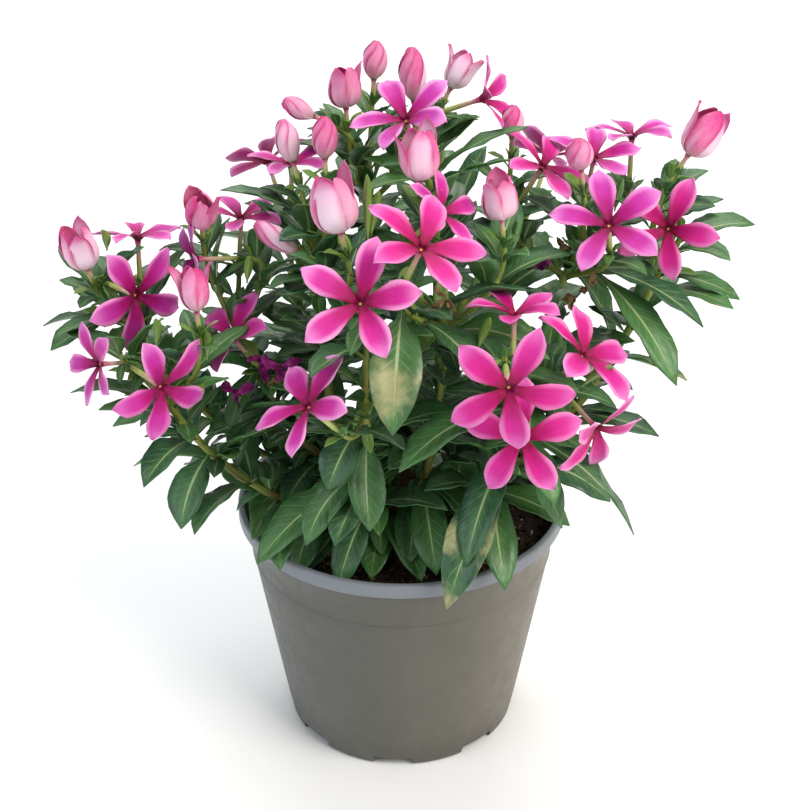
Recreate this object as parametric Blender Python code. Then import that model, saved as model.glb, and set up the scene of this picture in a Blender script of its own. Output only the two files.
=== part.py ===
"""Potted periwinkle: a bushy Catharanthus in a nursery pot.

Metres, +Z up, origin at the middle of the pot's flat base. The front of the plant faces -Y.
Places on the plant are in millimetres, measured from the middle of the soil's surface.
"""

from math import atan2, cos, pi, radians, sin

import bmesh
import bpy
from mathutils import Matrix, Quaternion, Vector
from mathutils.bvhtree import BVHTree

# Pot: an injection-moulded nursery pot.
POT_HEIGHT = 0.108
RIM_RADIUS = 0.070
BASE_RADIUS = 0.0506
LIP_HEIGHT = 0.006
LIP_WIDTH = 0.0026
WALL = 0.0013
FLOOR = 0.0015
BASE_CORNER = 0.0015
STEP_DROP = 0.0235
STEP_DEPTH = 0.0005
NOTCHES = 8
NOTCH_WIDTH = 0.017
NOTCH_HEIGHT = 0.004
NOTCH_DEPTH = 0.005
FIRST_NOTCH = radians(-4)
POT_SIDES = 40

# Soil and the woody crown that stands in it.
SOIL_DROP = 0.014
CROWN_RADIUS = 0.009
CROWN_HEIGHT = 0.034
CROWN_DEPTH = 0.022
CROWN_SIDES = 12

# Plant: the planting plan is drawn for a plant that rises 198 mm over its soil.
PLANT_HEIGHT = 0.198
PLAN_HEIGHT = 0.198
STEM_RADIUS = 0.0019
TWIG_RADIUS = 0.0010
STEM_SIDES = 5
TWIG_SIDES = 4
STEM_PIECES = 8
TWIG_PIECES = 3
TWIG_END = 0.003
FORK_PLACES = (1.0, 0.92, 0.84, 0.76, 0.68, 0.60, 0.50, 0.40)
BOW_SIZES = (5, 10, 16, 22, 28, 36, 46)
BOW_WAYS = ((1, 0), (-1, 0), (0, -1), (0, 1), (0.7, -0.7), (-0.7, -0.7), (0.7, 0.7), (-0.7, 0.7))

# Leaves.
LEAF_LENGTH = 0.036
LEAF_WIDTH = 0.0130
LEAF_THICKNESS = 0.0009
LEAF_SPACING = 0.0150
LEAF_INSET = 0.0005
PLACED_DROOP = 0.07
TWIG_LEAVES = ((0.45, 0.80), (0.80, 0.50))
LEAF_RINGS = (0.0, 0.30, 0.66)
LEAF_RING_WIDTHS = (0.10, 0.84, 0.94)

# Blooms.
PETAL_LENGTH = 0.0225
PETAL_WIDTH = 0.0118
PETAL_THICKNESS = 0.0007
TUBE_LENGTH = 0.020
TUBE_RADIUS = 0.0011
THROAT_RADIUS = 0.0040
BUD_TUBE = 0.010
BUD_SIDES = 8

GAP = 0.0003
CLEARANCE = 0.0004
BLOOM_STEP = 0.0015
BLOOM_STEPS = 14
SMALLEST_SHELL = 1e-12

POT_COLOUR = (0.185, 0.180, 0.165)
SOIL_COLOUR = (0.030, 0.022, 0.017)
WOOD_COLOUR = (0.190, 0.130, 0.060)
LEAF_COLOUR = (0.040, 0.130, 0.045)
PETAL_COLOUR = (0.720, 0.030, 0.270)
BUD_COLOUR = (0.850, 0.420, 0.640)

SOIL_TOP = POT_HEIGHT - SOIL_DROP
GROWTH = PLANT_HEIGHT / PLAN_HEIGHT

# Open blooms: name, throat (x, y, height), way it faces (azimuth from the front, elevation), turn, share of
# full size, lift of the petals (degrees over the flower's plane).
OPEN_BLOOMS = (
    ("flower_left_front", (-102, -25, 118), (45, 2), 50, 0.95, 0),
    ("flower_left_low", (-89, -60, 97), (45, -6), 51, 0.95, 0),
    ("flower_front_left", (-33, -75, 96), (-60, 48), 0, 0.95, 4),
    ("flower_centre", (-14, -75, 137), (-3, 37), 13, 1.0, 14),
    ("flower_middle", (7, -65, 153), (39, 60), 48, 1.0, 8),
    ("flower_front", (37, -95, 115), (0, 2), 26, 1.02, -4),
    ("flower_front_low", (43, -88, 91), (-12, 30), -4, 0.98, -14),
    ("flower_right_front", (66, -60, 109), (68, 52), 56, 1.0, 6),
    ("flower_right_upper", (77, -30, 148), (-14, 52), -18, 0.97, 8),
    ("flower_far_right", (102, -15, 141), (-24, 24), 20, 0.90, 6),
    ("flower_upper_right", (54, 0, 160), (62, 60), 74, 0.86, 4),
    ("flower_upper_right_side", (75, 10, 160), (24, 78), 30, 0.82, 10),
    ("flower_upper_right_back", (92, 27, 163), (180, 84), 30, 0.82, 6),
    ("flower_top", (2, -5, 180), (-40, 62), 20, 0.92, 12),
    ("flower_left_centre", (-66, -18, 96), (-66, 56), -90, 0.92, 8),
    ("flower_left_behind", (-80, -4, 124), (-72, 6), 8, 0.72, 8),
    ("flower_left_up", (-104, 2, 130), (180, 80), 20, 0.78, 4),
    ("flower_left_under", (-113, -46, 99), (-52, 14), 36, 0.72, 12),
    ("flower_front_edge", (41, -58, 124), (180, 86), 10, 0.80, 12),
    ("flower_right_under", (72, -64, 82), (40, -24), 20, 0.88, 10),
    ("flower_middle_behind", (14, -38, 156), (58, 46), 40, 0.72, 10),
    ("flower_top_side", (31, 17, 182), (74, 22), 12, 0.72, 26),
    ("flower_left_back", (-64, 12, 134), (60, 84), 30, 0.74, 8),
    ("flower_upper_left_edge", (-44, 22, 153), (14, 84), 0, 0.74, 10),
    ("flower_back_left", (-58, 74, 136), (-150, 50), 10, 0.92, 8),
    ("flower_back_right", (64, 76, 138), (150, 48), 30, 0.92, 8),
)

# Blooms that are closed or half open: name, bottom and top of the bloom, its widest radius.
CLOSED_BLOOMS = (
    ("half_open_far_left", (-122, -12, 124), (-126, -15, 142), 7.0),
    ("half_open_left", (-78, 0, 136), (-77, -7, 151), 6.6),
    ("half_open_left_centre", (-76, -43, 120), (-77, -43, 138), 5.4),
    ("bud_upper_left_low", (-40, -18, 133), (-56, -12, 142), 4.4),
    ("half_open_centre", (-22, -42, 151), (-27, -41, 173), 9.0),
    ("bud_upper_left", (-42, 8, 160), (-46, 10, 176), 4.8),
    ("bud_upper_centre", (-29, -2, 165), (-29, -2, 181), 5.2),
    ("half_open_top_left", (-22, 30, 175), (-23, 30, 192), 6.6),
    ("bud_top_left_side", (-35, 25, 173), (-46, 21, 180), 4.0),
    ("bud_top", (-11, 42, 183), (-10, 42, 198), 5.2),
    ("bud_top_pale", (5, 36, 176), (4, 36, 197), 5.8),
    ("half_open_top_right", (20, 40, 180), (27, 40, 194), 5.6),
    ("half_open_top", (7, -32, 167), (6, -31, 187), 7.4),
    ("bud_right_top", (43, 12, 169), (43, 12, 181), 4.4),
    ("half_open_right_centre", (37, -32, 152), (35, -31, 168), 8.2),
    ("bud_upper_right", (68, -9, 163), (66, -10, 175), 5.6),
    ("bud_far_right", (111, 5, 164), (121, 4, 182), 7.4),
    ("bud_back", (14, 84, 150), (13, 92, 165), 5.2),
)

# Shoots: name, foot on the crown (azimuth, height over the soil), fork (x, y, height), blooms on it.
SHOOTS = (
    ("shoot_far_left", (-104, 11), (-106, -2, 92), (
        "flower_left_front", "flower_left_up", "half_open_far_left")),
    ("shoot_left", (-84, 23), (-66, -4, 92), (
        "flower_left_behind", "flower_left_back", "flower_left_centre", "half_open_left")),
    ("shoot_low_left", (-64, 10), (-90, -36, 76), (
        "flower_left_low", "flower_left_under", "half_open_left_centre")),
    ("shoot_front_left", (-22, 12), (-14, -46, 84), ("flower_front_left", "flower_centre")),
    ("shoot_upper_left", (-48, 25), (-34, -6, 112), (
        "flower_upper_left_edge", "half_open_centre", "bud_upper_left_low", "bud_upper_left",
        "bud_upper_centre")),
    ("shoot_top_left", (-168, 26), (-14, 30, 134), (
        "half_open_top_left", "bud_top_left_side", "bud_top", "bud_top_pale")),
    ("shoot_top", (150, 22), (14, 8, 134), (
        "flower_top", "flower_top_side", "half_open_top", "half_open_top_right")),
    ("shoot_centre", (16, 24), (18, -32, 108), (
        "flower_middle", "flower_middle_behind", "half_open_right_centre", "bud_right_top")),
    ("shoot_upper_right", (76, 25), (66, 8, 112), (
        "flower_upper_right", "flower_upper_right_side", "flower_upper_right_back", "flower_right_upper",
        "bud_upper_right")),
    ("shoot_far_right", (96, 11), (102, 8, 108), ("flower_far_right", "bud_far_right")),
    ("shoot_front_right", (46, 10), (46, -44, 72), (
        "flower_front", "flower_front_edge", "flower_right_front", "flower_front_low",
        "flower_right_under")),
    ("shoot_back_left", (-136, 11), (-48, 52, 96), ("flower_back_left",)),
    ("shoot_back_right", (130, 12), (44, 56, 100), ("flower_back_right", "bud_back")),
)

# Leaves placed one by one: shoot, foot (x, y, height), tip (x, y, height), width.
PLACED_LEAVES = (
    ("shoot_low_left", (-61, -35, 62), (-87, -52, 30), 15),
    ("shoot_low_left", (-80, -36, 70), (-113, -56, 84), 12),
    ("shoot_far_left", (-112, -8, 100), (-137, -22, 93), 13),
    ("shoot_far_left", (-112, 2, 106), (-133, 2, 112), 11),
    ("shoot_far_left", (-98, 6, 92), (-82, 12, 120), 12),
    ("shoot_upper_left", (-45, 4, 136), (-70, 4, 149), 10),
    ("shoot_front_left", (-36, -36, 48), (-56, -58, 17), 15),
    ("shoot_front_left", (-10, -58, 62), (-12, -66, 38), 13),
    ("shoot_front_left", (-18, -46, 48), (-32, -62, 22), 14),
    ("shoot_front_left", (-2, -58, 70), (-27, -72, 60), 13),
    ("shoot_front_left", (-8, -56, 104), (-31, -76, 97), 12),
    ("shoot_centre", (4, -62, 116), (-3, -88, 94), 17),
    ("shoot_front_left", (-6, -20, 13), (-12, -50, 4), 12),
    ("shoot_front_left", (-8, -26, 18), (8, -54, 6), 12),
    ("shoot_front_left", (-10, -34, 30), (-26, -58, 6), 12),
    ("shoot_centre", (6, -14, 26), (3, -50, 12), 13),
    ("shoot_centre", (10, -22, 36), (14, -60, 14), 13),
    ("shoot_low_left", (-16, -10, 12), (-38, -42, 5), 13),
    ("shoot_front_right", (14, -16, 12), (24, -52, 5), 13),
    ("shoot_front_right", (24, -26, 22), (38, -56, 5), 12),
    ("shoot_front_right", (36, -62, 80), (0, -88, 82), 16),
    ("shoot_front_right", (18, -58, 58), (16, -82, 16), 16),
    ("shoot_front_right", (34, -56, 60), (24, -76, 30), 14),
    ("shoot_front_right", (34, -52, 36), (40, -74, 16), 13),
    ("shoot_front_right", (56, -56, 72), (90, -72, 43), 16),
    ("shoot_front_right", (60, -46, 62), (62, -58, 34), 12),
    ("shoot_centre", (18, -46, 116), (44, -50, 134), 14),
    ("shoot_centre", (16, -52, 112), (30, -76, 106), 13),
    ("shoot_top", (18, 0, 146), (42, -6, 165), 9),
    ("shoot_top", (18, 12, 158), (47, 8, 176), 7),
    ("shoot_top", (4, -2, 150), (-14, -12, 157), 8),
    ("shoot_centre", (34, -24, 124), (56, -26, 147), 12),
    ("shoot_centre", (30, -22, 132), (44, -14, 152), 11),
    ("shoot_upper_left", (-38, -14, 120), (-20, -26, 141), 12),
    ("shoot_far_right", (114, 8, 124), (140, 10, 134), 12),
    ("shoot_far_right", (106, 8, 140), (119, 12, 156), 10),
    ("shoot_far_right", (104, 2, 138), (120, -6, 148), 9),
    ("shoot_upper_right", (84, -8, 116), (116, -28, 108), 12),
    ("shoot_far_right", (106, 2, 112), (134, -6, 110), 9),
    ("shoot_upper_right", (84, -14, 102), (105, -38, 86), 13),
)

# Clear spaces that open on the soil, for watering: two corners (x, y, height) each.
WATERING_GAPS = (
    ((-12, 44, 1), (12, 61, 56)),
    ((40, -34, 1), (54, -22, 13)),
    ((-58, -18, 1), (-46, -6, 13)),
)


def plan(point):
    """A place in the planting plan, in the part's own frame."""
    x, y, height = point
    return Vector((x * GROWTH, y * GROWTH, height * GROWTH)) * 0.001 + Vector((0, 0, SOIL_TOP))


def heading(azimuth, elevation):
    """The unit vector that looks out from the plant at these angles in degrees, azimuth 0 to the front."""
    a = radians(azimuth)
    e = radians(elevation)
    return Vector((sin(a) * cos(e), -cos(a) * cos(e), sin(e)))


def make_material(name, colour, roughness):
    material = bpy.data.materials.new(name)
    material.use_nodes = True
    shader = material.node_tree.nodes["Principled BSDF"]
    shader.inputs["Base Color"].default_value = (*colour, 1)
    shader.inputs["Roughness"].default_value = roughness
    shader.inputs["Metallic"].default_value = 0
    return material


def make_object(name, verts, faces, material=None):
    mesh = bpy.data.meshes.new(name)
    mesh.from_pydata([tuple(v) for v in verts], [], faces)
    mesh.validate()
    tidy = bmesh.new()
    tidy.from_mesh(mesh)
    bmesh.ops.recalc_face_normals(tidy, faces=tidy.faces)
    tidy.to_mesh(mesh)
    tidy.free()
    if material:
        mesh.materials.append(material)
    obj = bpy.data.objects.new(name, mesh)
    bpy.context.collection.objects.link(obj)
    return obj


def lathe(profile, sides):
    """A closed solid turned round Z from (radius, height) points whose first and last lie on the axis."""
    verts = [Vector((0, 0, profile[0][1]))]
    for radius, height in profile[1:-1]:
        for k in range(sides):
            a = 2 * pi * k / sides
            verts.append(Vector((radius * cos(a), radius * sin(a), height)))
    verts.append(Vector((0, 0, profile[-1][1])))
    faces = []
    rings = len(profile) - 2
    for k in range(sides):
        nxt = (k + 1) % sides
        faces.append((0, 1 + nxt, 1 + k))
        for ring in range(rings - 1):
            low = 1 + ring * sides
            high = low + sides
            faces.append((low + k, low + nxt, high + nxt, high + k))
        last = 1 + (rings - 1) * sides
        faces.append((len(verts) - 1, last + k, last + nxt))
    return verts, faces


def loft(rings, tip=None):
    """A closed solid through rings of equal size, its last ring capped or drawn to a tip."""
    sides = len(rings[0])
    verts = [v for ring in rings for v in ring]
    faces = [tuple(reversed(range(sides)))]
    for low in range(0, (len(rings) - 1) * sides, sides):
        for k in range(sides):
            nxt = (k + 1) % sides
            faces.append((low + k, low + nxt, low + sides + nxt, low + sides + k))
    last = (len(rings) - 1) * sides
    if tip is None:
        faces.append(tuple(range(last, last + sides)))
    else:
        verts.append(tip)
        faces += [(last + k, last + (k + 1) % sides, len(verts) - 1) for k in range(sides)]
    return verts, faces


def bezier(points, t):
    points = list(points)
    while len(points) > 1:
        points = [a.lerp(b, t) for a, b in zip(points, points[1:])]
    return points[0]


def along_stem(controls, pieces, t):
    """A point on the straight pieces that a stem is made of, and the way it runs there."""
    piece = min(pieces - 1, int(t * pieces))
    low = bezier(controls, piece / pieces)
    high = bezier(controls, (piece + 1) / pieces)
    return low.lerp(high, t * pieces - piece), (high - low).normalized()


def tube(controls, start_radius, end_radius, pieces, sides):
    """A tapered round stem along a Bezier curve."""
    rings = []
    across = None
    for k in range(pieces + 1):
        t = k / pieces
        centre = bezier(controls, t)
        ahead = bezier(controls, min(1, t + 0.01)) - bezier(controls, max(0, t - 0.01))
        ahead.normalize()
        if across is None:
            across = ahead.orthogonal().normalized()
        across = (across - ahead * across.dot(ahead)).normalized()
        beside = ahead.cross(across)
        radius = start_radius + (end_radius - start_radius) * t
        ring = []
        for s in range(sides):
            a = 2 * pi * s / sides
            ring.append(centre + (across * cos(a) + beside * sin(a)) * radius)
        rings.append(ring)
    return loft(rings)


def open_bloom_shape(size, lift, spare=0.0):
    """Five petals that meet at the throat on a narrow tube, facing +Z, with the throat at the origin."""
    length = PETAL_LENGTH * size + spare
    half_width = PETAL_WIDTH * size / 2 + spare
    rise = radians(lift)
    verts = [Vector((0, 0, PETAL_THICKNESS + spare))]
    for petal in range(5):
        turn = Matrix.Rotation(-2 * pi * petal / 5, 3, "Z")
        outline = (
            (-pi / 5, THROAT_RADIUS, 0.0),
            (-atan2(half_width, length * 0.66), length * 0.70, 0.66),
            (0.0, length, 1.0),
            (atan2(half_width, length * 0.66), length * 0.70, 0.66),
        )
        for angle, reach, share in outline:
            height = length * share * sin(rise)
            flat = reach * (1 - share + share * cos(rise))
            verts.append(turn @ Vector((flat * sin(angle), flat * cos(angle), height)))
    neck = len(verts)
    for ring_height in (-PETAL_THICKNESS - spare, -TUBE_LENGTH):
        for side in range(5):
            a = 2 * pi * side / 5 - pi / 5
            radius = TUBE_RADIUS + spare
            verts.append(Vector((-radius * sin(-a), radius * cos(a), ring_height)))
    faces = [(0, 1 + (k + 1) % 20, 1 + k) for k in range(20)]
    for petal in range(5):
        first = 1 + petal * 4
        after = 1 + (petal * 4 + 4) % 20
        root = neck + petal
        next_root = neck + (petal + 1) % 5
        faces += [
            (first, first + 1, root), (first + 1, first + 2, root), (first + 2, next_root, root),
            (first + 2, first + 3, next_root), (first + 3, after, next_root),
            (root, next_root, next_root + 5, root + 5),
        ]
    faces.append(tuple(neck + 5 + k for k in range(5)))
    return verts, faces


def closed_bloom_shape(height, radius, spare=0.0):
    """A furled bloom that stands up +Z from its bottom at the origin, on the end of its tube."""
    profile = (
        (-BUD_TUBE, 1.0), (0.0, 1.4), (0.34 * height, 0.74 * radius * 1000), (0.66 * height, radius * 1000),
        (0.90 * height, 0.62 * radius * 1000),
    )
    rings = []
    for level, size in profile:
        ring = []
        for side in range(BUD_SIDES):
            a = 2 * pi * side / BUD_SIDES
            ridge = 1.0 if side % 2 == 0 else 0.88
            reach = size * 0.001 * ridge + spare
            ring.append(Vector((reach * cos(a), reach * sin(a), level)))
        rings.append(ring)
    return loft(rings, Vector((0, 0, height + spare)))


def leaf_shape(foot, tip, up, width, droop, spare=0.0, blade_only=False):
    """A folded leaf from its foot to its tip, arched over by the droop (a share of its length)."""
    along = tip - foot
    length = along.length
    along.normalize()
    up = (up - along * up.dot(along)).normalized()
    beside = along.cross(up)

    def centre(share):
        arch = up * (4 * droop * length * share * (1 - share))
        return foot + along * (length * share) + arch

    rings = []
    for share, spread in zip(LEAF_RINGS, LEAF_RING_WIDTHS):
        if blade_only and share == 0:
            share = 0.16
            spread = 0.3
        half = width / 2 * spread + spare
        thick = LEAF_THICKNESS / 2 + spare
        middle = centre(share)
        fold = up * (0.16 * half)
        rings.append([middle - beside * half + fold, middle + up * thick, middle + beside * half + fold,
                      middle - up * thick])
    return loft(rings, centre(1.0) + along * spare)


class Room:
    """What stands where already. A new piece turns aside until it is clear of it."""

    def __init__(self):
        self.pieces = []

    def add(self, shape, owner=None):
        verts, faces = shape
        tree = BVHTree.FromPolygons([tuple(v) for v in verts], faces, epsilon=0.0)
        self.pieces.append((owner, tree))

    def is_clear(self, shape, except_owner="nothing"):
        verts, faces = shape
        tree = BVHTree.FromPolygons([tuple(v) for v in verts], faces, epsilon=0.0)
        return not any(owner != except_owner and tree.overlap(other) for owner, other in self.pieces)


def box_shape(low, high):
    corners = [Vector((x, y, z)) for z in (low[2], high[2]) for x, y in (
        (low[0], low[1]), (high[0], low[1]), (high[0], high[1]), (low[0], high[1]))]
    faces = [(3, 2, 1, 0), (4, 5, 6, 7), (0, 1, 5, 4), (1, 2, 6, 5), (2, 3, 7, 6), (3, 0, 4, 7)]
    return corners, faces


def moved(shape, matrix):
    verts, faces = shape
    return [matrix @ v for v in verts], faces


def standing(axis, turn=0.0):
    """The rotation that takes +Z to the axis and +Y as near to up as it can be, then turns clockwise."""
    axis = axis.normalized()
    right = Vector((0, 0, 1)).cross(axis)
    if right.length < 0.001:
        right = Vector((1, 0, 0))
    right.normalize()
    over = axis.cross(right)
    frame = Matrix((right, over, axis)).transposed()
    return frame @ Matrix.Rotation(-turn, 3, "Z")


def wall_radius(height):
    """The pot's outer wall under its lip."""
    top = RIM_RADIUS - LIP_WIDTH
    return BASE_RADIUS + (top - BASE_RADIUS) * height / (POT_HEIGHT - LIP_HEIGHT)


def make_pot(room):
    lip_bottom = POT_HEIGHT - LIP_HEIGHT
    step = POT_HEIGHT - STEP_DROP
    edge = 0.0008
    profile = [
        (0, 0), (BASE_RADIUS - BASE_CORNER, 0), (BASE_RADIUS, BASE_CORNER),
        (wall_radius(step) - STEP_DEPTH, step), (wall_radius(step), step + STEP_DEPTH),
        (wall_radius(lip_bottom), lip_bottom),
        (RIM_RADIUS - edge, lip_bottom), (RIM_RADIUS, lip_bottom + edge),
        (RIM_RADIUS, POT_HEIGHT - edge), (RIM_RADIUS - edge, POT_HEIGHT),
        (wall_radius(POT_HEIGHT) - WALL + edge, POT_HEIGHT),
        (wall_radius(POT_HEIGHT) - WALL, POT_HEIGHT - edge),
        (wall_radius(FLOOR) - WALL, FLOOR), (0, FLOOR),
    ]
    verts, faces = lathe(profile, POT_SIDES)
    pot = make_object("pot", verts, faces, make_material("pot", POT_COLOUR, 0.55))
    cutters = bpy.data.collections.new("notch_cutters")
    bpy.context.scene.collection.children.link(cutters)
    for k in range(NOTCHES):
        size = (NOTCH_WIDTH / 2, NOTCH_DEPTH, NOTCH_HEIGHT)
        low = (-size[0], BASE_RADIUS - size[1], -size[2])
        high = (size[0], BASE_RADIUS + size[1], size[2])
        around = Matrix.Rotation(pi + FIRST_NOTCH + 2 * pi * k / NOTCHES, 4, "Z")
        corners, sides = moved(box_shape(low, high), around)
        cutter = make_object(f"notch_cutter_{k}", corners, sides)
        cutter.hide_render = True
        cutter.display_type = "WIRE"
        bpy.context.collection.objects.unlink(cutter)
        cutters.objects.link(cutter)
    cut = pot.modifiers.new("notches", "BOOLEAN")
    cut.operation = "DIFFERENCE"
    cut.operand_type = "COLLECTION"
    cut.collection = cutters
    cut.solver = "EXACT"
    pot.data.shade_smooth()
    pot.data.set_sharp_from_angle(angle=radians(25))
    room.add((verts, faces))


def make_soil_and_crown(room):
    bottom = FLOOR + GAP
    inner_top = wall_radius(SOIL_TOP) - WALL - GAP * 1.5
    inner_bottom = wall_radius(bottom) - WALL - GAP * 1.5
    shoulder = NOTCH_HEIGHT + GAP
    pocket = CROWN_RADIUS + GAP
    profile = [
        (0, bottom), (BASE_RADIUS - NOTCH_DEPTH - 2 * GAP, bottom),
        (BASE_RADIUS - NOTCH_DEPTH - 2 * GAP, shoulder),
        (wall_radius(shoulder) - WALL - GAP * 1.5, shoulder), (inner_top, SOIL_TOP),
        (pocket, SOIL_TOP), (pocket, SOIL_TOP - CROWN_DEPTH - GAP), (0, SOIL_TOP - CROWN_DEPTH - GAP),
    ]
    verts, faces = lathe(profile, POT_SIDES)
    make_object("soil", verts, faces, make_material("soil", SOIL_COLOUR, 0.95))
    room.add((verts, faces))
    crown_profile = [
        (0, SOIL_TOP - CROWN_DEPTH), (CROWN_RADIUS, SOIL_TOP - CROWN_DEPTH),
        (CROWN_RADIUS, SOIL_TOP + CROWN_HEIGHT * 0.92),
        (CROWN_RADIUS * 0.72, SOIL_TOP + CROWN_HEIGHT), (0, SOIL_TOP + CROWN_HEIGHT),
    ]
    verts, faces = lathe(crown_profile, CROWN_SIDES)
    make_object("crown", verts, faces, make_material("wood", WOOD_COLOUR, 0.85))
    room.add((verts, faces))


class Bloom:
    """A bloom's place: its tube's lower end and the way that it grows there."""

    def __init__(self, name, end, axis):
        self.name = name
        self.end = end
        self.axis = axis


def place_bloom(name, shape_of, origin, axis, turn, tube_length, room, material, plant):
    """Puts a bloom down. It turns on its tube, then moves out, until it and its twig's end are clear."""
    shoot = next(shoot for shoot, _, _, carried in SHOOTS if name in carried)
    for step in range(BLOOM_STEPS):
        for aside in (0, 9, -9, 18, -18, 27, -27, 36):
            spot = origin + axis * (BLOOM_STEP * step)
            rotation = standing(axis, turn + radians(aside))
            matrix = Matrix.Translation(spot) @ rotation.to_4x4()
            end = spot - axis * (tube_length + GAP)
            twig_end = [end - axis * TWIG_END, end - axis * (TWIG_END / 2), end]
            spare = moved(shape_of(CLEARANCE), matrix)
            if room.is_clear(spare) and room.is_clear(twig_shape(twig_end, CLEARANCE)):
                verts, faces = shape_of(0.0)
                obj = make_object(name, verts, faces, material)
                obj.parent = plant
                obj.location = spot
                obj.rotation_mode = "QUATERNION"
                obj.rotation_quaternion = rotation.to_quaternion()
                room.add(moved((verts, faces), matrix))
                room.add(twig_shape(twig_end), shoot)
                return Bloom(name, end, axis)
    raise ValueError(f"{name} finds no clear place")


def make_blooms(room, plant):
    petals = make_material("petals", PETAL_COLOUR, 0.55)
    buds = make_material("buds", BUD_COLOUR, 0.55)
    blooms = {}
    for name, throat, facing, turn, size, lift in OPEN_BLOOMS:
        blooms[name] = place_bloom(
            name, lambda spare: open_bloom_shape(size, lift, spare), plan(throat), heading(*facing),
            radians(turn), TUBE_LENGTH, room, petals, plant)
    for name, bottom, top, radius in CLOSED_BLOOMS:
        rise = plan(top) - plan(bottom)
        height = rise.length
        blooms[name] = place_bloom(
            name, lambda spare: closed_bloom_shape(height, radius * 0.001, spare), plan(bottom),
            rise.normalized(), 0.0, BUD_TUBE, room, buds, plant)
    return blooms


def stem_controls(foot, fork_place):
    """The main stem leaves the crown level, bends up and reaches its fork."""
    azimuth, height = foot
    out = heading(azimuth, 0)
    start = out * (CROWN_RADIUS + GAP) + Vector((0, 0, SOIL_TOP + height * 0.001))
    fork = plan(fork_place)
    reach = (fork - start).length
    arrive = ((fork - start).normalized() + Vector((0, 0, 1.1))).normalized()
    return [start, start + out * reach * 0.34, fork - arrive * reach * 0.36, fork]


def twig_controls(fork, bloom, bow):
    """A twig from the fork to its bloom's tube. The bow (mm to its side, mm up) bends its middle."""
    line = bloom.end - fork
    side = Vector((line.y, -line.x, 0)).normalized()
    bend = (side * bow[0] + Vector((0, 0, 1)) * bow[1]) * 0.001
    return [fork, bloom.end - bloom.axis * line.length * 0.45 + bend, bloom.end]


def grow_twig(room, main, bloom, own_main):
    """The twig bows out by the least that clears the rest, or forks off lower down."""
    ways = [(0, 0)] + [(side * size, up * size) for size in BOW_SIZES for side, up in BOW_WAYS]
    for t in FORK_PLACES:
        fork, _ = along_stem(main, STEM_PIECES, t)
        for bow in ways:
            controls = twig_controls(fork, bloom, bow)
            if room.is_clear(twig_shape(controls, CLEARANCE), own_main):
                return controls
    raise ValueError(f"{bloom.name} has no clear way for its twig")


def twig_shape(controls, spare=0.0):
    return tube(controls, TWIG_RADIUS * 1.2 + spare, TWIG_RADIUS + spare, TWIG_PIECES, TWIG_SIDES)


def union(name, shapes, material):
    """One closed solid from shapes that run into each other."""
    body = make_object(name, *shapes[0], material)
    rest = bpy.data.collections.new(name + "_rest")
    bpy.context.scene.collection.children.link(rest)
    helpers = []
    for k, shape in enumerate(shapes[1:]):
        helper = make_object(f"{name}_rest_{k}", *shape)
        bpy.context.collection.objects.unlink(helper)
        rest.objects.link(helper)
        helpers.append(helper)
    join = body.modifiers.new("join", "BOOLEAN")
    join.operation = "UNION"
    join.operand_type = "COLLECTION"
    join.collection = rest
    join.solver = "EXACT"
    bpy.context.view_layer.update()
    evaluated = body.evaluated_get(bpy.context.evaluated_depsgraph_get())
    mesh = bpy.data.meshes.new_from_object(evaluated)
    body.modifiers.clear()
    fill_pockets(mesh)
    body.data = mesh
    for helper in helpers:
        bpy.data.objects.remove(helper)
    bpy.data.collections.remove(rest)
    return body


def fill_pockets(mesh):
    """Fills the pockets that crossing stems seal: a pocket's wall is a shell of no or negative volume."""
    shells = bmesh.new()
    shells.from_mesh(mesh)
    unseen = set(shells.faces)
    while unseen:
        shell = [unseen.pop()]
        for face in shell:
            around = {beside for edge in face.edges for beside in edge.link_faces} & unseen
            unseen -= around
            shell.extend(around)
        near = shell[0].verts[0].co.copy()
        volume = sum((face.verts[0].co - near).dot(face.normal) * face.calc_area() for face in shell)
        if volume < SMALLEST_SHELL:
            bmesh.ops.delete(shells, geom=shell, context="FACES")
    shells.to_mesh(mesh)
    shells.free()


def leaf_up(along, tilt):
    """A leaf's upper side looks up, or outward on a leaf that hangs or stands."""
    level = Vector((along.x, along.y, 0))
    up = Vector((0, 0, 1)) if along.z < 0.75 else -level
    if along.z < -0.75:
        up = level
    up = (up - along * up.dot(along)).normalized()
    return Quaternion(along, tilt) @ up


def try_leaf(room, owner, foot, tip, up, width, droop):
    """The leaf, if its blade is clear of everything and its foot of all but its own shoot's stems."""
    blade = leaf_shape(foot, tip, up, width, droop, CLEARANCE, blade_only=True)
    whole = leaf_shape(foot, tip, up, width, droop, CLEARANCE)
    if not (room.is_clear(blade) and room.is_clear(whole, owner)):
        return None
    leaf = leaf_shape(foot, tip, up, width, droop)
    room.add(leaf)
    return leaf


def grow_leaf(room, owner, foot, ahead, out, length, width, lean, droop, tilt):
    """A leaf from its node. It turns round the stem, up or down until it is clear, then stays shorter."""
    for share in (1.0, 0.8, 0.62, 0.45, 0.3):
        for lift in (0, 22, -22, 40):
            for aside in (0, 18, -18, 36, -36, 54, -54, 72, -72, 90):
                side = Quaternion(ahead, radians(aside)) @ out
                angle = lean + radians(lift)
                along = (side * cos(angle) + ahead * sin(angle)).normalized()
                root = foot + side * LEAF_INSET
                tip = root + along * length * share
                up = leaf_up(along, tilt)
                leaf = try_leaf(room, owner, root, tip, up, width * (0.4 + 0.6 * share), droop)
                if leaf:
                    return leaf
    return None


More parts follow.
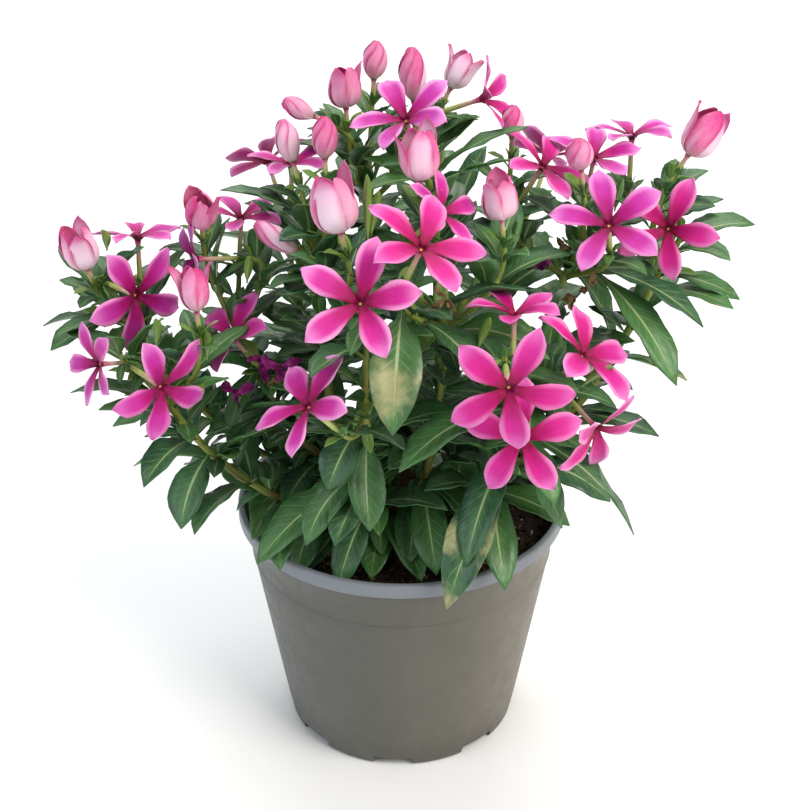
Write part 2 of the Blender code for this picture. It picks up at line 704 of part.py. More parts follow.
def grow_placed_leaf(room, owner, stems, foot, tip, width):
    """A leaf placed by hand. It sits on the nearest point of its shoot's stems."""
    nearest = None
    for controls in stems:
        pieces = STEM_PIECES if len(controls) == 4 else TWIG_PIECES
        for k in range(5, 61):
            point, _ = along_stem(controls, pieces, k / 60)
            if nearest is None or (point - foot).length < (nearest - foot).length:
                nearest = point
    for share in (1.0, 0.85, 0.7):
        for aside in (0, 10, -10, 20, -20, 32, -32, 45, -45):
            for lift in (0, 10, -10, 22, -22):
                along = tip - nearest
                along = Quaternion(Vector((0, 0, 1)), radians(aside)) @ along
                level = Vector((-along.y, along.x, 0)).normalized()
                along = Quaternion(level, -radians(lift)) @ along
                up = leaf_up(along.normalized(), 0)
                root = nearest + along.normalized() * LEAF_INSET
                leaf = try_leaf(room, owner, root, nearest + along * share, up, width, PLACED_DROOP)
                if leaf:
                    return leaf
    return None


def grow_shoots(room, blooms, plant):
    green = make_material("leaves", LEAF_COLOUR, 0.45)
    shoots = {}
    for name, foot, fork, _ in SHOOTS:
        main = stem_controls(foot, fork)
        stem = tube(main, STEM_RADIUS, TWIG_RADIUS * 1.4, STEM_PIECES, STEM_SIDES)
        room.add(stem, name)
        shoots[name] = (main, [], [stem])
    for name, _, _, carried in SHOOTS:
        main, twigs, shapes = shoots[name]
        for bloom in carried:
            controls = grow_twig(room, main, blooms[bloom], name)
            twigs.append(controls)
            shapes.append(twig_shape(controls))
            room.add(shapes[-1], name)

    for name, foot, tip, width in PLACED_LEAVES:
        main, twigs, shapes = shoots[name]
        leaf = grow_placed_leaf(room, name, [main, *twigs], plan(foot), plan(tip), width * 0.001)
        if leaf:
            shapes.append(leaf)

    for order, (name, _, _, _) in enumerate(SHOOTS):
        main, twigs, shapes = shoots[name]
        reach = sum((bezier(main, k / 20) - bezier(main, (k + 1) / 20)).length for k in range(20))
        nodes = int(reach / LEAF_SPACING)
        for node in range(nodes):
            t = 0.14 + 0.84 * node / max(1, nodes - 1)
            point, ahead = along_stem(main, STEM_PIECES, t)
            level = ahead.cross(Vector((0, 0, 1))).normalized()
            turn = radians(90 * node + 27 * order)
            for side in (0, pi):
                out = Quaternion(ahead, turn + side) @ level
                wave = sin(2.4 * node + 1.7 * order + side)
                leaf = grow_leaf(
                    room, name, point, ahead, out,
                    LEAF_LENGTH * (1 + 0.14 * wave), LEAF_WIDTH * (1 + 0.10 * wave),
                    radians(24 + 10 * wave), 0.07 + 0.03 * wave, 0.3 * wave)
                if leaf:
                    shapes.append(leaf)
        for number, controls in enumerate(twigs):
            for t, size in TWIG_LEAVES:
                point, ahead = along_stem(controls, TWIG_PIECES, t)
                level = ahead.orthogonal().normalized()
                for side in (0, pi):
                    out = Quaternion(ahead, radians(55 * number + 180 * t) + side) @ level
                    leaf = grow_leaf(
                        room, name, point, ahead, out,
                        LEAF_LENGTH * size, LEAF_WIDTH * size, radians(34), 0.06, 0.0)
                    if leaf:
                        shapes.append(leaf)
    for name, (_, _, shapes) in shoots.items():
        union(name, shapes, green).parent = plant


def main():
    for obj in list(bpy.data.objects):
        bpy.data.objects.remove(obj)
    plant = bpy.data.objects.new("plant", None)
    bpy.context.collection.objects.link(plant)
    room = Room()
    make_pot(room)
    make_soil_and_crown(room)
    for low, high in WATERING_GAPS:
        room.add(box_shape(plan(low), plan(high)))
    blooms = make_blooms(room, plant)
    grow_shoots(room, blooms, plant)


main()
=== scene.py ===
from math import atan2, cos, pi, radians, sin, tau

import bmesh
import bpy
import numpy as np
from mathutils import Matrix, Quaternion, Vector
from mathutils.kdtree import KDTree
from mathutils.noise import fractal


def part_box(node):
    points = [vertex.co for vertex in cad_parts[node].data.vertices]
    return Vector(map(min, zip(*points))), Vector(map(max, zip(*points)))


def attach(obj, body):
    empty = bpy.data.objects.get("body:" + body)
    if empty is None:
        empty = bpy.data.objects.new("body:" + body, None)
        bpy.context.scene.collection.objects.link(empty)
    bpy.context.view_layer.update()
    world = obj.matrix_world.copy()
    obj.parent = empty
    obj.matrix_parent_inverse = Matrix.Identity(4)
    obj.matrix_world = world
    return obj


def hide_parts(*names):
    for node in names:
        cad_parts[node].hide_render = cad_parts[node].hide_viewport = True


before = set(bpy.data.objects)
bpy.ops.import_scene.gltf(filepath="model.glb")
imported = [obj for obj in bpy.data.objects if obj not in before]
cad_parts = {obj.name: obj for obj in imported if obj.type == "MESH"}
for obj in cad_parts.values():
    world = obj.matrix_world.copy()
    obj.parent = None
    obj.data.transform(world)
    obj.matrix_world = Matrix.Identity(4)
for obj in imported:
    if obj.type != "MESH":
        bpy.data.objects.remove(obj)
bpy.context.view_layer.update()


# ---- Camera ----------------------------------------------------------------------------------------
# A studio camera in front of the plant and above it, which looks down onto the pot's rim.

camera_data = bpy.data.cameras.new("camera")
camera_data.lens = 66.67
camera_data.sensor_width = 36.0
camera = bpy.data.objects.new("camera", camera_data)
camera.location = (0.0015, -0.550, 0.448)
camera.rotation_euler = (radians(90 - 28.4), 0, 0)
bpy.context.collection.objects.link(camera)
bpy.context.scene.camera = camera


# ---- Floor and light -------------------------------------------------------------------------------
# A white sweep under the pot and soft studio light: a broad key from the front right, a cooler fill
# from the left, a top light and an even white surround.

def plain_material(name, colour, roughness):
    material = bpy.data.materials.new(name)
    material.use_nodes = True
    shader = material.node_tree.nodes["Principled BSDF"]
    shader.inputs["Base Color"].default_value = (*colour, 1)
    shader.inputs["Roughness"].default_value = roughness
    return material


floor_mesh = bpy.data.meshes.new("floor")
floor_corners = [(x, y, -0.0004) for x, y in ((-6, -6), (6, -6), (6, 6), (-6, 6))]
floor_mesh.from_pydata(floor_corners, [], [(0, 1, 2, 3)])
floor_mesh.materials.append(plain_material("studio_floor", (0.93, 0.93, 0.93), 0.9))
floor = bpy.data.objects.new("floor", floor_mesh)
bpy.context.collection.objects.link(floor)

world = bpy.data.worlds.new("studio")
world.use_nodes = True
surround = world.node_tree.nodes["Background"]
surround.inputs["Color"].default_value = (1.0, 1.0, 1.0, 1)
surround.inputs["Strength"].default_value = 0.50
bpy.context.scene.world = world
bpy.context.scene.view_settings.view_transform = "Standard"


def soft_light(name, place, size, watts, colour, aim=(0, 0, 0.16)):
    data = bpy.data.lights.new(name, "AREA")
    data.size = size
    data.energy = watts
    data.color = colour
    light = bpy.data.objects.new(name, data)
    light.location = place
    way = Vector(aim) - Vector(place)
    light.rotation_euler = way.to_track_quat("-Z", "Y").to_euler()
    bpy.context.collection.objects.link(light)


soft_light("key", (0.95, -0.75, 1.25), 0.9, 22, (1.0, 0.95, 0.88))
soft_light("fill", (-1.2, -0.7, 0.7), 0.9, 5.5, (0.78, 0.89, 1.0))
soft_light("top", (-0.1, 0.3, 1.6), 0.9, 8, (0.96, 0.98, 1.0))
soft_light("sweep", (0, 1.6, 1.5), 1.6, 20, (1.0, 1.0, 1.0), aim=(0, 1.5, 0))


# ---- Pot -------------------------------------------------------------------------------------------
# An injection-moulded nursery pot in taupe polypropylene. Thin tapered walls, a rolled lip at the rim,
# a faint step where pots nest, and eight drainage notches moulded into the corner of its base.

pot_low, pot_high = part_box("pot")
pot_height = pot_high.z
rim_radius = (pot_high.x - pot_low.x) / 2
lip_height = 0.0060
lip_width = 0.0026
pot_wall = 0.0013
pot_floor = 0.0015
base_radius = 0.0506
base_corner = 0.0015
nest_step = 0.0235
notch_count = 8
notch_width = 0.017
notch_height = 0.004
notch_depth = 0.005
first_notch = radians(-4)
pot_sides = 160


def colour(hex_code):
    """A hex colour as linear red, green and blue."""
    parts = [int(hex_code[k:k + 2], 16) / 255 for k in (0, 2, 4)]
    return tuple(p / 12.92 if p <= 0.04045 else ((p + 0.055) / 1.055) ** 2.4 for p in parts)


def new_object(name, mesh):
    piece = bpy.data.objects.new(name, mesh)
    bpy.context.collection.objects.link(piece)
    return piece


def mesh_of(name, verts, faces):
    mesh = bpy.data.meshes.new(name)
    mesh.from_pydata([tuple(v) for v in verts], [], faces)
    mesh.shade_smooth()
    return mesh


def turned(profile, sides):
    """A closed solid turned round Z from (radius, height) points whose ends lie on the axis."""
    verts = [(0, 0, profile[0][1])]
    turns = [tau * k / sides for k in range(sides)]
    for radius, height in profile[1:-1]:
        verts += [(radius * cos(a), radius * sin(a), height) for a in turns]
    verts.append((0, 0, profile[-1][1]))
    faces = []
    last = 1 + (len(profile) - 3) * sides
    for k in range(sides):
        beside = (k + 1) % sides
        faces.append((0, 1 + beside, 1 + k))
        for low in range(1, last, sides):
            faces.append((low + k, low + beside, low + sides + beside, low + sides + k))
        faces.append((len(verts) - 1, last + k, last + beside))
    return verts, faces


def wall_at(height):
    """The outer radius of the tapered wall."""
    top = rim_radius - lip_width
    return base_radius + (top - base_radius) * height / (pot_height - lip_height)


def rounded(centre_radius, centre_height, radius, start, end, steps):
    """Points of an arc in the profile, its angles in degrees from the outward direction."""
    points = []
    for k in range(steps + 1):
        a = radians(start + (end - start) * k / steps)
        points.append((centre_radius + radius * cos(a), centre_height + radius * sin(a)))
    return points


lip_bottom = pot_height - lip_height
step_height = pot_height - nest_step
lip_round = 0.0011
inner = wall_at(pot_height) - pot_wall
pot_profile = [(0, 0), (base_radius * 0.5, 0)]
pot_profile += rounded(base_radius - base_corner, base_corner, base_corner, -90, 0, 4)
pot_profile += [(wall_at(h), h) for h in (0.012, 0.030, 0.055, 0.075)]
pot_profile += [
    (wall_at(step_height - 0.0012), step_height - 0.0012),
    (wall_at(step_height) - 0.0003, step_height - 0.0004),
    (wall_at(step_height) + 0.0004, step_height + 0.0004),
    (wall_at(step_height + 0.0014), step_height + 0.0014),
    (wall_at(lip_bottom - 0.0012), lip_bottom - 0.0012),
    (wall_at(lip_bottom) + 0.0006, lip_bottom - 0.0002),
]
pot_profile += rounded(rim_radius - 0.0006, lip_bottom + 0.0006, 0.0006, -90, 0, 3)
pot_profile += rounded(rim_radius - lip_round, pot_height - lip_round, lip_round, 0, 90, 5)
pot_profile += rounded(inner + lip_round, pot_height - lip_round, lip_round, 90, 180, 5)
pot_profile += [(wall_at(pot_floor) - pot_wall, pot_floor), (base_radius * 0.5, pot_floor), (0, pot_floor)]
pot = new_object("pot_body", mesh_of("pot_body", *turned(pot_profile, pot_sides)))

notch_cutter = bmesh.new()
for k in range(notch_count):
    corner = bmesh.ops.create_cube(notch_cutter, size=1.0)["verts"]
    bmesh.ops.scale(notch_cutter, vec=(notch_width, notch_depth * 2, notch_height * 2), verts=corner)
    bmesh.ops.translate(notch_cutter, vec=(0, base_radius, 0), verts=corner)
    around = Matrix.Rotation(pi + first_notch + tau * k / notch_count, 4, "Z")
    bmesh.ops.transform(notch_cutter, matrix=around, verts=corner)
bmesh.ops.bevel(notch_cutter, geom=[e for e in notch_cutter.edges], offset=0.0006, segments=2, affect="EDGES")
cutter_mesh = bpy.data.meshes.new("notch_cutter")
notch_cutter.to_mesh(cutter_mesh)
notch_cutter.free()
cutter = new_object("notch_cutter", cutter_mesh)
notches = pot.modifiers.new("notches", "BOOLEAN")
notches.operation = "DIFFERENCE"
notches.object = cutter
notches.solver = "EXACT"


def made_plain(piece):
    """The piece with its modifiers built into a plain mesh."""
    evaluated = piece.evaluated_get(bpy.context.evaluated_depsgraph_get())
    mesh = bpy.data.meshes.new_from_object(evaluated)
    mesh.name = piece.name
    piece.modifiers.clear()
    piece.data = mesh
    return piece


made_plain(pot)
bpy.data.objects.remove(cutter)
pot.data.shade_smooth()
pot.data.set_sharp_from_angle(angle=radians(40))


class Finish:
    """A Principled material whose colour and bump are built up from patterns. Colours are hex codes."""

    def __init__(self, name, roughness, **fixed):
        self.material = bpy.data.materials.new(name)
        self.material.use_nodes = True
        self.nodes = self.material.node_tree.nodes
        self.links = self.material.node_tree.links
        self.shader = self.nodes["Principled BSDF"]
        self.shader.inputs["Roughness"].default_value = roughness
        for socket, value in fixed.items():
            self.shader.inputs[socket.replace("_", " ")].default_value = value

    def link(self, value, socket):
        if isinstance(value, bpy.types.NodeSocket):
            self.links.new(value, socket)
        elif isinstance(value, str):
            socket.default_value = (*colour(value), 1)
        else:
            socket.default_value = value

    def place(self, scale=(1, 1, 1)):
        where = self.nodes.new("ShaderNodeTexCoord")
        mapping = self.nodes.new("ShaderNodeMapping")
        mapping.inputs["Scale"].default_value = scale
        self.links.new(where.outputs["Object"], mapping.inputs["Vector"])
        return mapping.outputs["Vector"]

    def own_map(self, scale=(1, 1, 1)):
        source = self.nodes.new("ShaderNodeUVMap")
        source.uv_map = "UVMap"
        mapping = self.nodes.new("ShaderNodeMapping")
        mapping.inputs["Scale"].default_value = scale
        self.links.new(source.outputs["UV"], mapping.inputs["Vector"])
        return mapping.outputs["Vector"]

    def own_value(self, name):
        node = self.nodes.new("ShaderNodeAttribute")
        node.attribute_name = name
        return node.outputs["Fac"]

    def parts(self, vector):
        split = self.nodes.new("ShaderNodeSeparateXYZ")
        self.links.new(vector, split.inputs[0])
        return split.outputs

    def noise(self, scale, where=None, detail=4, rough=0.55):
        node = self.nodes.new("ShaderNodeTexNoise")
        node.inputs["Scale"].default_value = scale
        node.inputs["Detail"].default_value = detail
        node.inputs["Roughness"].default_value = rough
        self.links.new(where or self.place(), node.inputs["Vector"])
        return node.outputs["Fac"]

    def cells(self, scale, where=None):
        node = self.nodes.new("ShaderNodeTexVoronoi")
        node.inputs["Scale"].default_value = scale
        self.links.new(where or self.place(), node.inputs["Vector"])
        return node.outputs["Distance"]

    def math(self, operation, a, b=0.0, c=0.0):
        node = self.nodes.new("ShaderNodeMath")
        node.operation = operation
        for value, socket in zip((a, b, c), node.inputs):
            self.link(value, socket)
        return node.outputs[0]

    def step(self, value, low, high, bottom=0.0, top=1.0):
        """Smoothly from bottom to top as the value goes from low to high."""
        node = self.nodes.new("ShaderNodeMapRange")
        node.interpolation_type = "SMOOTHSTEP"
        for number, socket in zip((value, low, high, bottom, top), node.inputs):
            self.link(number, socket)
        return node.outputs[0]

    def ramp(self, value, stops):
        node = self.nodes.new("ShaderNodeValToRGB")
        band = node.color_ramp
        band.interpolation = "EASE"
        while len(band.elements) < len(stops):
            band.elements.new(0.5)
        for element, (place, shade) in zip(band.elements, stops):
            element.position = place
            element.color = (*colour(shade), 1)
        self.link(value, node.inputs[0])
        return node.outputs[0]

    def mix(self, amount, first, second):
        node = self.nodes.new("ShaderNodeMix")
        node.data_type = "RGBA"
        self.link(amount, node.inputs[0])
        self.link(first, node.inputs[6])
        self.link(second, node.inputs[7])
        return node.outputs[2]

    def colour(self, value):
        self.link(value, self.shader.inputs["Base Color"])

    def roughness(self, value):
        self.link(value, self.shader.inputs["Roughness"])

    def bump(self, height, strength, distance):
        node = self.nodes.new("ShaderNodeBump")
        node.inputs["Strength"].default_value = strength
        node.inputs["Distance"].default_value = distance
        self.links.new(height, node.inputs["Height"])
        self.links.new(node.outputs[0], self.shader.inputs["Normal"])


plastic = Finish("taupe_polypropylene", 0.48, Specular_IOR_Level=0.42)
cloudy = plastic.noise(14, detail=3)
flow_marks = plastic.noise(38, plastic.place((1, 1, 0.16)), detail=5)
grey = plastic.mix(plastic.step(cloudy, 0.35, 0.68), "57554c", "605d54")
grey = plastic.mix(plastic.step(flow_marks, 0.52, 0.78, 0, 0.30), grey, "6f6a5e")
# Painted shade and light: the pot's left side is tinted a darker cool grey as shade from the cool fill, and
# its right side a lighter warm taupe as lit by the key light.
painted_light_side_x = plastic.parts(plastic.place())[0]
grey = plastic.mix(plastic.step(painted_light_side_x, -0.065, 0.03, 0.45, 0), grey, "50585a")
grey = plastic.mix(plastic.step(painted_light_side_x, 0.012, 0.060, 0, 0.45), grey, "7d7566")
height_on_wall = plastic.parts(plastic.place())[2]
# Darker towards the foot of the pot, in cloudy patches.
near_foot = plastic.step(height_on_wall, 0.022, 0.0, 0, 0.6)
darker_near_foot = plastic.math("MULTIPLY", near_foot, plastic.step(cloudy, 0.4, 0.6))
grey = plastic.mix(darker_near_foot, grey, "4e4a42")
# Painted highlight: a pale bluish band over the rolled lip stands in for the light that the rim catches.
lip_painted_highlight = plastic.step(height_on_wall, lip_bottom - 0.0006, lip_bottom + 0.0004)
grey = plastic.mix(plastic.math("MULTIPLY", lip_painted_highlight, 0.75), grey, "7f8690")
plastic.colour(grey)
plastic.roughness(plastic.step(plastic.noise(160, detail=3), 0.3, 0.7, 0.42, 0.56))
plastic.bump(plastic.noise(1500, detail=2), 0.10, 0.0002)
pot.data.materials.clear()
pot.data.materials.append(plastic.material)
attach(pot, "root")
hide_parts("pot")


# ---- Soil ------------------------------------------------------------------------------------------
# Dark peat mix that fills the pot to a finger's width below the rim. Its face is uneven, and it is
# strewn with crumbs of peat, bits of bark and a few grains of white perlite.

soil_low, soil_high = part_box("soil")
soil_top = soil_high.z
soil_radius = (soil_high.x - soil_low.x) / 2
soil_rings = 34
soil_spokes = 110
soil_verts = [(0, 0, soil_top)]
soil_faces = []
for ring in range(1, soil_rings + 1):
    reach = soil_radius * ring / soil_rings
    for spoke in range(soil_spokes):
        a = tau * spoke / soil_spokes
        x, y = reach * cos(a), reach * sin(a)
        rough = fractal(Vector((x, y, 0)) * 160, 0.9, 2.0, 4) * 0.0011
        heap = 0.0016 * (1 - (reach / soil_radius) ** 2)
        soil_verts.append((x, y, soil_top - 0.0006 + heap + rough))
for spoke in range(soil_spokes):
    beside = (spoke + 1) % soil_spokes
    soil_faces.append((0, 1 + spoke, 1 + beside))
    for ring in range(soil_rings - 1):
        low = 1 + ring * soil_spokes
        high = low + soil_spokes
        soil_faces.append((low + spoke, high + spoke, high + beside, low + beside))
rim_start = 1 + (soil_rings - 1) * soil_spokes
foot_start = len(soil_verts)
foot_radius = base_radius - notch_depth - 0.0006
for spoke in range(soil_spokes):
    a = tau * spoke / soil_spokes
    soil_verts.append((foot_radius * cos(a), foot_radius * sin(a), soil_low.z))
soil_verts.append((0, 0, soil_low.z))
for spoke in range(soil_spokes):
    beside = (spoke + 1) % soil_spokes
    soil_faces.append((rim_start + spoke, foot_start + spoke, foot_start + beside, rim_start + beside))
    soil_faces.append((foot_start + spoke, len(soil_verts) - 1, foot_start + beside))
soil = new_object("soil_body", mesh_of("soil_body", soil_verts, soil_faces))

peat = Finish("peat_mix", 0.95, Specular_IOR_Level=0.25)
clumps = peat.noise(90, detail=6, rough=0.7)
crumbs_pattern = peat.cells(420)
brown = peat.ramp(clumps, ((0.30, "17110e"), (0.52, "2c211b"), (0.75, "4a372b")))
brown = peat.mix(peat.step(crumbs_pattern, 0.10, 0.45, 0.6, 0), brown, "100c0a")
peat.colour(brown)
peat.bump(peat.math("ADD", clumps, peat.math("MULTIPLY", crumbs_pattern, 0.5)), 0.9, 0.0014)
soil.data.materials.append(peat.material)
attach(soil, "root")
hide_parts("soil")


class Tree:
    """A Geometry Nodes tree for one piece, with its named inputs."""

    def __init__(self, name, **inputs):
        self.group = bpy.data.node_groups.new(name, "GeometryNodeTree")
        face = self.group.interface
        face.new_socket("Geometry", in_out="INPUT", socket_type="NodeSocketGeometry")
        for title, value in inputs.items():
            kind = "NodeSocketInt" if isinstance(value, int) else "NodeSocketFloat"
            face.new_socket(title, in_out="INPUT", socket_type=kind).default_value = value
        face.new_socket("Geometry", in_out="OUTPUT", socket_type="NodeSocketGeometry")
        self.given = self.group.nodes.new("NodeGroupInput")
        self.result = self.group.nodes.new("NodeGroupOutput")

    def add(self, kind, settings=None, **sockets):
        node = self.group.nodes.new(kind)
        for name, value in (settings or {}).items():
            setattr(node, name, value)
        for name, value in sockets.items():
            self.fill(node.inputs[name.replace("_", " ")], value)
        return node

    def fill(self, socket, value):
        if isinstance(value, Field):
            value = value.socket
        if isinstance(value, bpy.types.NodeSocket):
            self.group.links.new(value, socket)
        else:
            socket.default_value = value

    def number(self, name):
        """A named number of the part that is being shaped, or one of the tree's own inputs."""
        if name in self.given.outputs:
            return Field(self, self.given.outputs[name])
        node = self.add("GeometryNodeInputNamedAttribute", {"data_type": "FLOAT"}, Name=name)
        return Field(self, node.outputs["Attribute"])

    def vector(self, name):
        node = self.add("GeometryNodeInputNamedAttribute", {"data_type": "FLOAT_VECTOR"}, Name=name)
        return Field(self, node.outputs["Attribute"], True)

    def curve(self, value, points):
        """A smooth outline through the given points."""
        node = self.add("ShaderNodeFloatCurve")
        self.fill(node.inputs["Value"], value)
        line = node.mapping.curves[0]
        while len(line.points) < len(points):
            line.points.new(0.5, 0.5)
        for point, place in zip(line.points, points):
            point.location = place
        node.mapping.update()
        return Field(self, node.outputs[0])

    def finish(self, geometry, material):
        real = self.add("GeometryNodeRealizeInstances", Geometry=geometry)
        painted = self.add("GeometryNodeSetMaterial", Geometry=real.outputs[0])
        painted.inputs["Material"].default_value = material
        self.group.links.new(painted.outputs[0], self.result.inputs[0])

    def grow(self, name, points, **inputs):
        """A new object of these points that carries the tree, its inputs set."""
        piece = new_object(name, points)
        modifier = piece.modifiers.new("grow", "NODES")
        modifier.node_group = self.group
        for socket in self.group.interface.items_tree:
            if socket.in_out == "INPUT" and socket.name in inputs:
                modifier[socket.identifier] = inputs[socket.name]
        return piece


class Field:
    """A number or vector in a tree, so that a shape's formula reads as one."""

    def __init__(self, tree, socket, is_vector=False):
        self.tree = tree
        self.socket = socket
        self.is_vector = is_vector

    def work(self, operation, other=None, swapped=False):
        both = [other, self] if swapped else [self, other]
        vector = any(isinstance(v, Field) and v.is_vector for v in both)
        kind = "ShaderNodeVectorMath" if vector else "ShaderNodeMath"
        node = self.tree.add(kind, {"operation": operation})
        for value, socket in zip(both, node.inputs):
            if value is not None:
                self.tree.fill(socket, value)
        return Field(self.tree, node.outputs[0], vector)

    def __add__(self, other):
        return self.work("ADD", other)

    def __sub__(self, other):
        return self.work("SUBTRACT", other)

    def __rsub__(self, other):
        return self.work("SUBTRACT", other, swapped=True)

    def __truediv__(self, other):
        return self.work("DIVIDE", other)

    def __mul__(self, other):
        if self.is_vector and not (isinstance(other, Field) and other.is_vector):
            node = self.tree.add("ShaderNodeVectorMath", {"operation": "SCALE"})
            self.tree.fill(node.inputs[0], self)
            self.tree.fill(node.inputs["Scale"], other)
            return Field(self.tree, node.outputs[0], True)
        return self.work("MULTIPLY", other)

    __radd__ = __add__
    __rmul__ = __mul__

    def power(self, exponent):
        return self.work("POWER", exponent)

    def sine(self):
        return self.work("SINE")

    def cosine(self):
        return self.work("COSINE")

    def size(self):
        return self.work("ABSOLUTE")

    def at_least(self, other):
        return self.work("MAXIMUM", other)

    def at_most(self, other):
        return self.work("MINIMUM", other)

    def cross(self, other):
        return self.work("CROSS_PRODUCT", other)

    def unit(self):
        return self.work("NORMALIZE")


soil_area = 0.0137
crumb_tree = Tree("soil_crumbs", Count=2600, Size=0.0013, Seed=3)
spread = crumb_tree.add(
    "GeometryNodeDistributePointsOnFaces", {"distribute_method": "RANDOM"},
    Mesh=crumb_tree.given.outputs["Geometry"], Density=crumb_tree.number("Count") / soil_area,
    Seed=crumb_tree.given.outputs["Seed"])
crumb = crumb_tree.add("GeometryNodeMeshIcoSphere", Radius=1.0, Subdivisions=1)
tumble = crumb_tree.add("FunctionNodeRandomValue", {"data_type": "FLOAT_VECTOR"}, Seed=5)
tumble.inputs["Max"].default_value = (tau, tau, tau)
lengths = crumb_tree.add("FunctionNodeRandomValue", {"data_type": "FLOAT_VECTOR"}, Seed=9)
lengths.inputs["Min"].default_value = (0.25, 0.25, 0.2)
lengths.inputs["Max"].default_value = (1.9, 0.9, 0.6)
strewn = crumb_tree.add(
    "GeometryNodeInstanceOnPoints", Points=spread.outputs["Points"], Instance=crumb.outputs["Mesh"],
    Rotation=tumble.outputs["Value"],
    Scale=Field(crumb_tree, lengths.outputs["Value"], True) * crumb_tree.number("Size"))
kind_of_crumb = crumb_tree.add("FunctionNodeRandomValue", {"data_type": "FLOAT"}, Seed=21)
marked = crumb_tree.add(
    "GeometryNodeStoreNamedAttribute", {"data_type": "FLOAT", "domain": "INSTANCE"},
    Geometry=strewn.outputs["Instances"], Name="kind", Value=kind_of_crumb.outputs[1])
bark = Finish("bark_and_perlite", 0.9, Specular_IOR_Level=0.3)
kind = bark.own_value("kind")
bark_colour = bark.ramp(kind, ((0.00, "1a1310"), (0.45, "35271f"), (0.80, "5c4433"), (0.96, "86684c")))
bark_colour = bark.mix(bark.step(kind, 0.975, 0.985), bark_colour, "c9c2b4")
bark.colour(bark.mix(bark.step(bark.noise(700, detail=3), 0.35, 0.7, 0.45, 0), bark_colour, "120d0b"))
bark.bump(bark.noise(900, detail=4), 0.6, 0.0005)
crumb_tree.finish(marked.outputs["Geometry"], bark.material)
crumb_face = mesh_of("soil_crumbs", soil_verts[:foot_start], [f for f in soil_faces if max(f) < foot_start])
crumbs = made_plain(crumb_tree.grow("soil_crumbs", crumb_face))
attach(crumbs, "root")


# ---- Crown and stems -------------------------------------------------------------------------------
# A short woody crown stands in the soil. Thirteen shoots leave it level, bend up and fork into twigs.
# The stems are smooth, yellow-green and a little swollen at each leaf node, and brown near the crown.

crown_radius = 0.009
gap = 0.0003
stem_radius = 0.0019
twig_radius = 0.0010
twig_pieces = 3
bow_ways = ((1, 0), (-1, 0), (0, -1), (0, 1), (0.7, -0.7), (-0.7, -0.7), (0.7, 0.7), (-0.7, 0.7))
bows = [(0, 0)] + [(side * size, up * size) for size in (5, 10, 16, 22, 28, 36, 46) for side, up in bow_ways]
shoots = (
    ("shoot_far_left", (-104, 11), (-106, -2, 92), (
        "flower_left_front", "flower_left_up", "half_open_far_left")),
    ("shoot_left", (-84, 23), (-66, -4, 92), (
        "flower_left_behind", "flower_left_back", "flower_left_centre", "half_open_left")),
    ("shoot_low_left", (-64, 10), (-90, -36, 76), (
        "flower_left_low", "flower_left_under", "half_open_left_centre")),
    ("shoot_front_left", (-22, 12), (-14, -46, 84), ("flower_front_left", "flower_centre")),
    ("shoot_upper_left", (-48, 25), (-34, -6, 112), (
        "flower_upper_left_edge", "half_open_centre", "bud_upper_left_low", "bud_upper_left",
        "bud_upper_centre")),
    ("shoot_top_left", (-168, 26), (-14, 30, 134), (
        "half_open_top_left", "bud_top_left_side", "bud_top", "bud_top_pale")),
    ("shoot_top", (150, 22), (14, 8, 134), (
        "flower_top", "flower_top_side", "half_open_top", "half_open_top_right")),
    ("shoot_centre", (16, 24), (18, -32, 108), (
        "flower_middle", "flower_middle_behind", "half_open_right_centre", "bud_right_top")),
    ("shoot_upper_right", (76, 25), (66, 8, 112), (
        "flower_upper_right", "flower_upper_right_side", "flower_upper_right_back", "flower_right_upper",
        "bud_upper_right")),
    ("shoot_far_right", (96, 11), (102, 8, 108), ("flower_far_right", "bud_far_right")),
    ("shoot_front_right", (46, 10), (46, -44, 72), (
        "flower_front", "flower_front_edge", "flower_right_front", "flower_front_low",
        "flower_right_under")),
    ("shoot_back_left", (-136, 11), (-48, 52, 96), ("flower_back_left",)),
    ("shoot_back_right", (130, 12), (44, 56, 100), ("flower_back_right", "bud_back")),
)
soil_plane = Vector((0, 0, soil_top))


def from_soil(place):
    """A place given in millimetres from the middle of the soil's face."""
    return Vector(place) * 0.001 + soil_plane


def welded(node):
    """A CAD node's mesh as one connected bmesh."""
    mesh = bmesh.new()
    mesh.from_mesh(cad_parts[node].data)
    bmesh.ops.remove_doubles(mesh, verts=mesh.verts, dist=2e-6)
    mesh.verts.index_update()
    return mesh


bud_tube = 0.010
most_bud_sides = 12
hub_rise = 0.0007


class Bloom:
    """Where a bloom's CAD solid sits: its throat, the way it faces, its size and its tube's lower end."""

    def __init__(self, node):
        mesh = welded(node)
        hub = max(mesh.verts, key=lambda v: len(v.link_edges))
        self.node = node
        self.is_open = len(hub.link_edges) > most_bud_sides
        self.hub = hub.co.copy()
        far = sorted(mesh.verts, key=lambda v: -(v.co - self.hub).length)
        if self.is_open:
            outline = [edge.other_vert(hub) for edge in hub.link_edges]
            rest = [v for v in far if v not in outline and v is not hub][:5]
            self.end = sum((v.co for v in rest), Vector()) / 5
            self.axis = (self.hub - self.end).normalized()
            self.hub -= self.axis * hub_rise
            tips = sorted(outline, key=lambda v: -(v.co - self.hub).length)[:5]
            self.tips = [v.co.copy() for v in tips]
            self.reach = sum((t - self.hub).length for t in self.tips) / 5
        else:
            sides = len(hub.link_edges)
            self.end = sum((v.co for v in far[:sides]), Vector()) / sides
            self.axis = (self.hub - self.end).normalized()
            self.height = (self.hub - self.end).length - bud_tube
            away = [(v.co - self.end) - self.axis * (v.co - self.end).dot(self.axis) for v in mesh.verts]
            self.radius = max(v.length for v in away)
            self.hub = self.end + self.axis * bud_tube
        mesh.free()


blooms = {node: Bloom(node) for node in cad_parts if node.startswith(("flower", "bud", "half_open"))}


def bezier(points, t):
    points = list(points)
    while len(points) > 1:
        points = [a.lerp(b, t) for a, b in zip(points, points[1:])]
    return points[0]


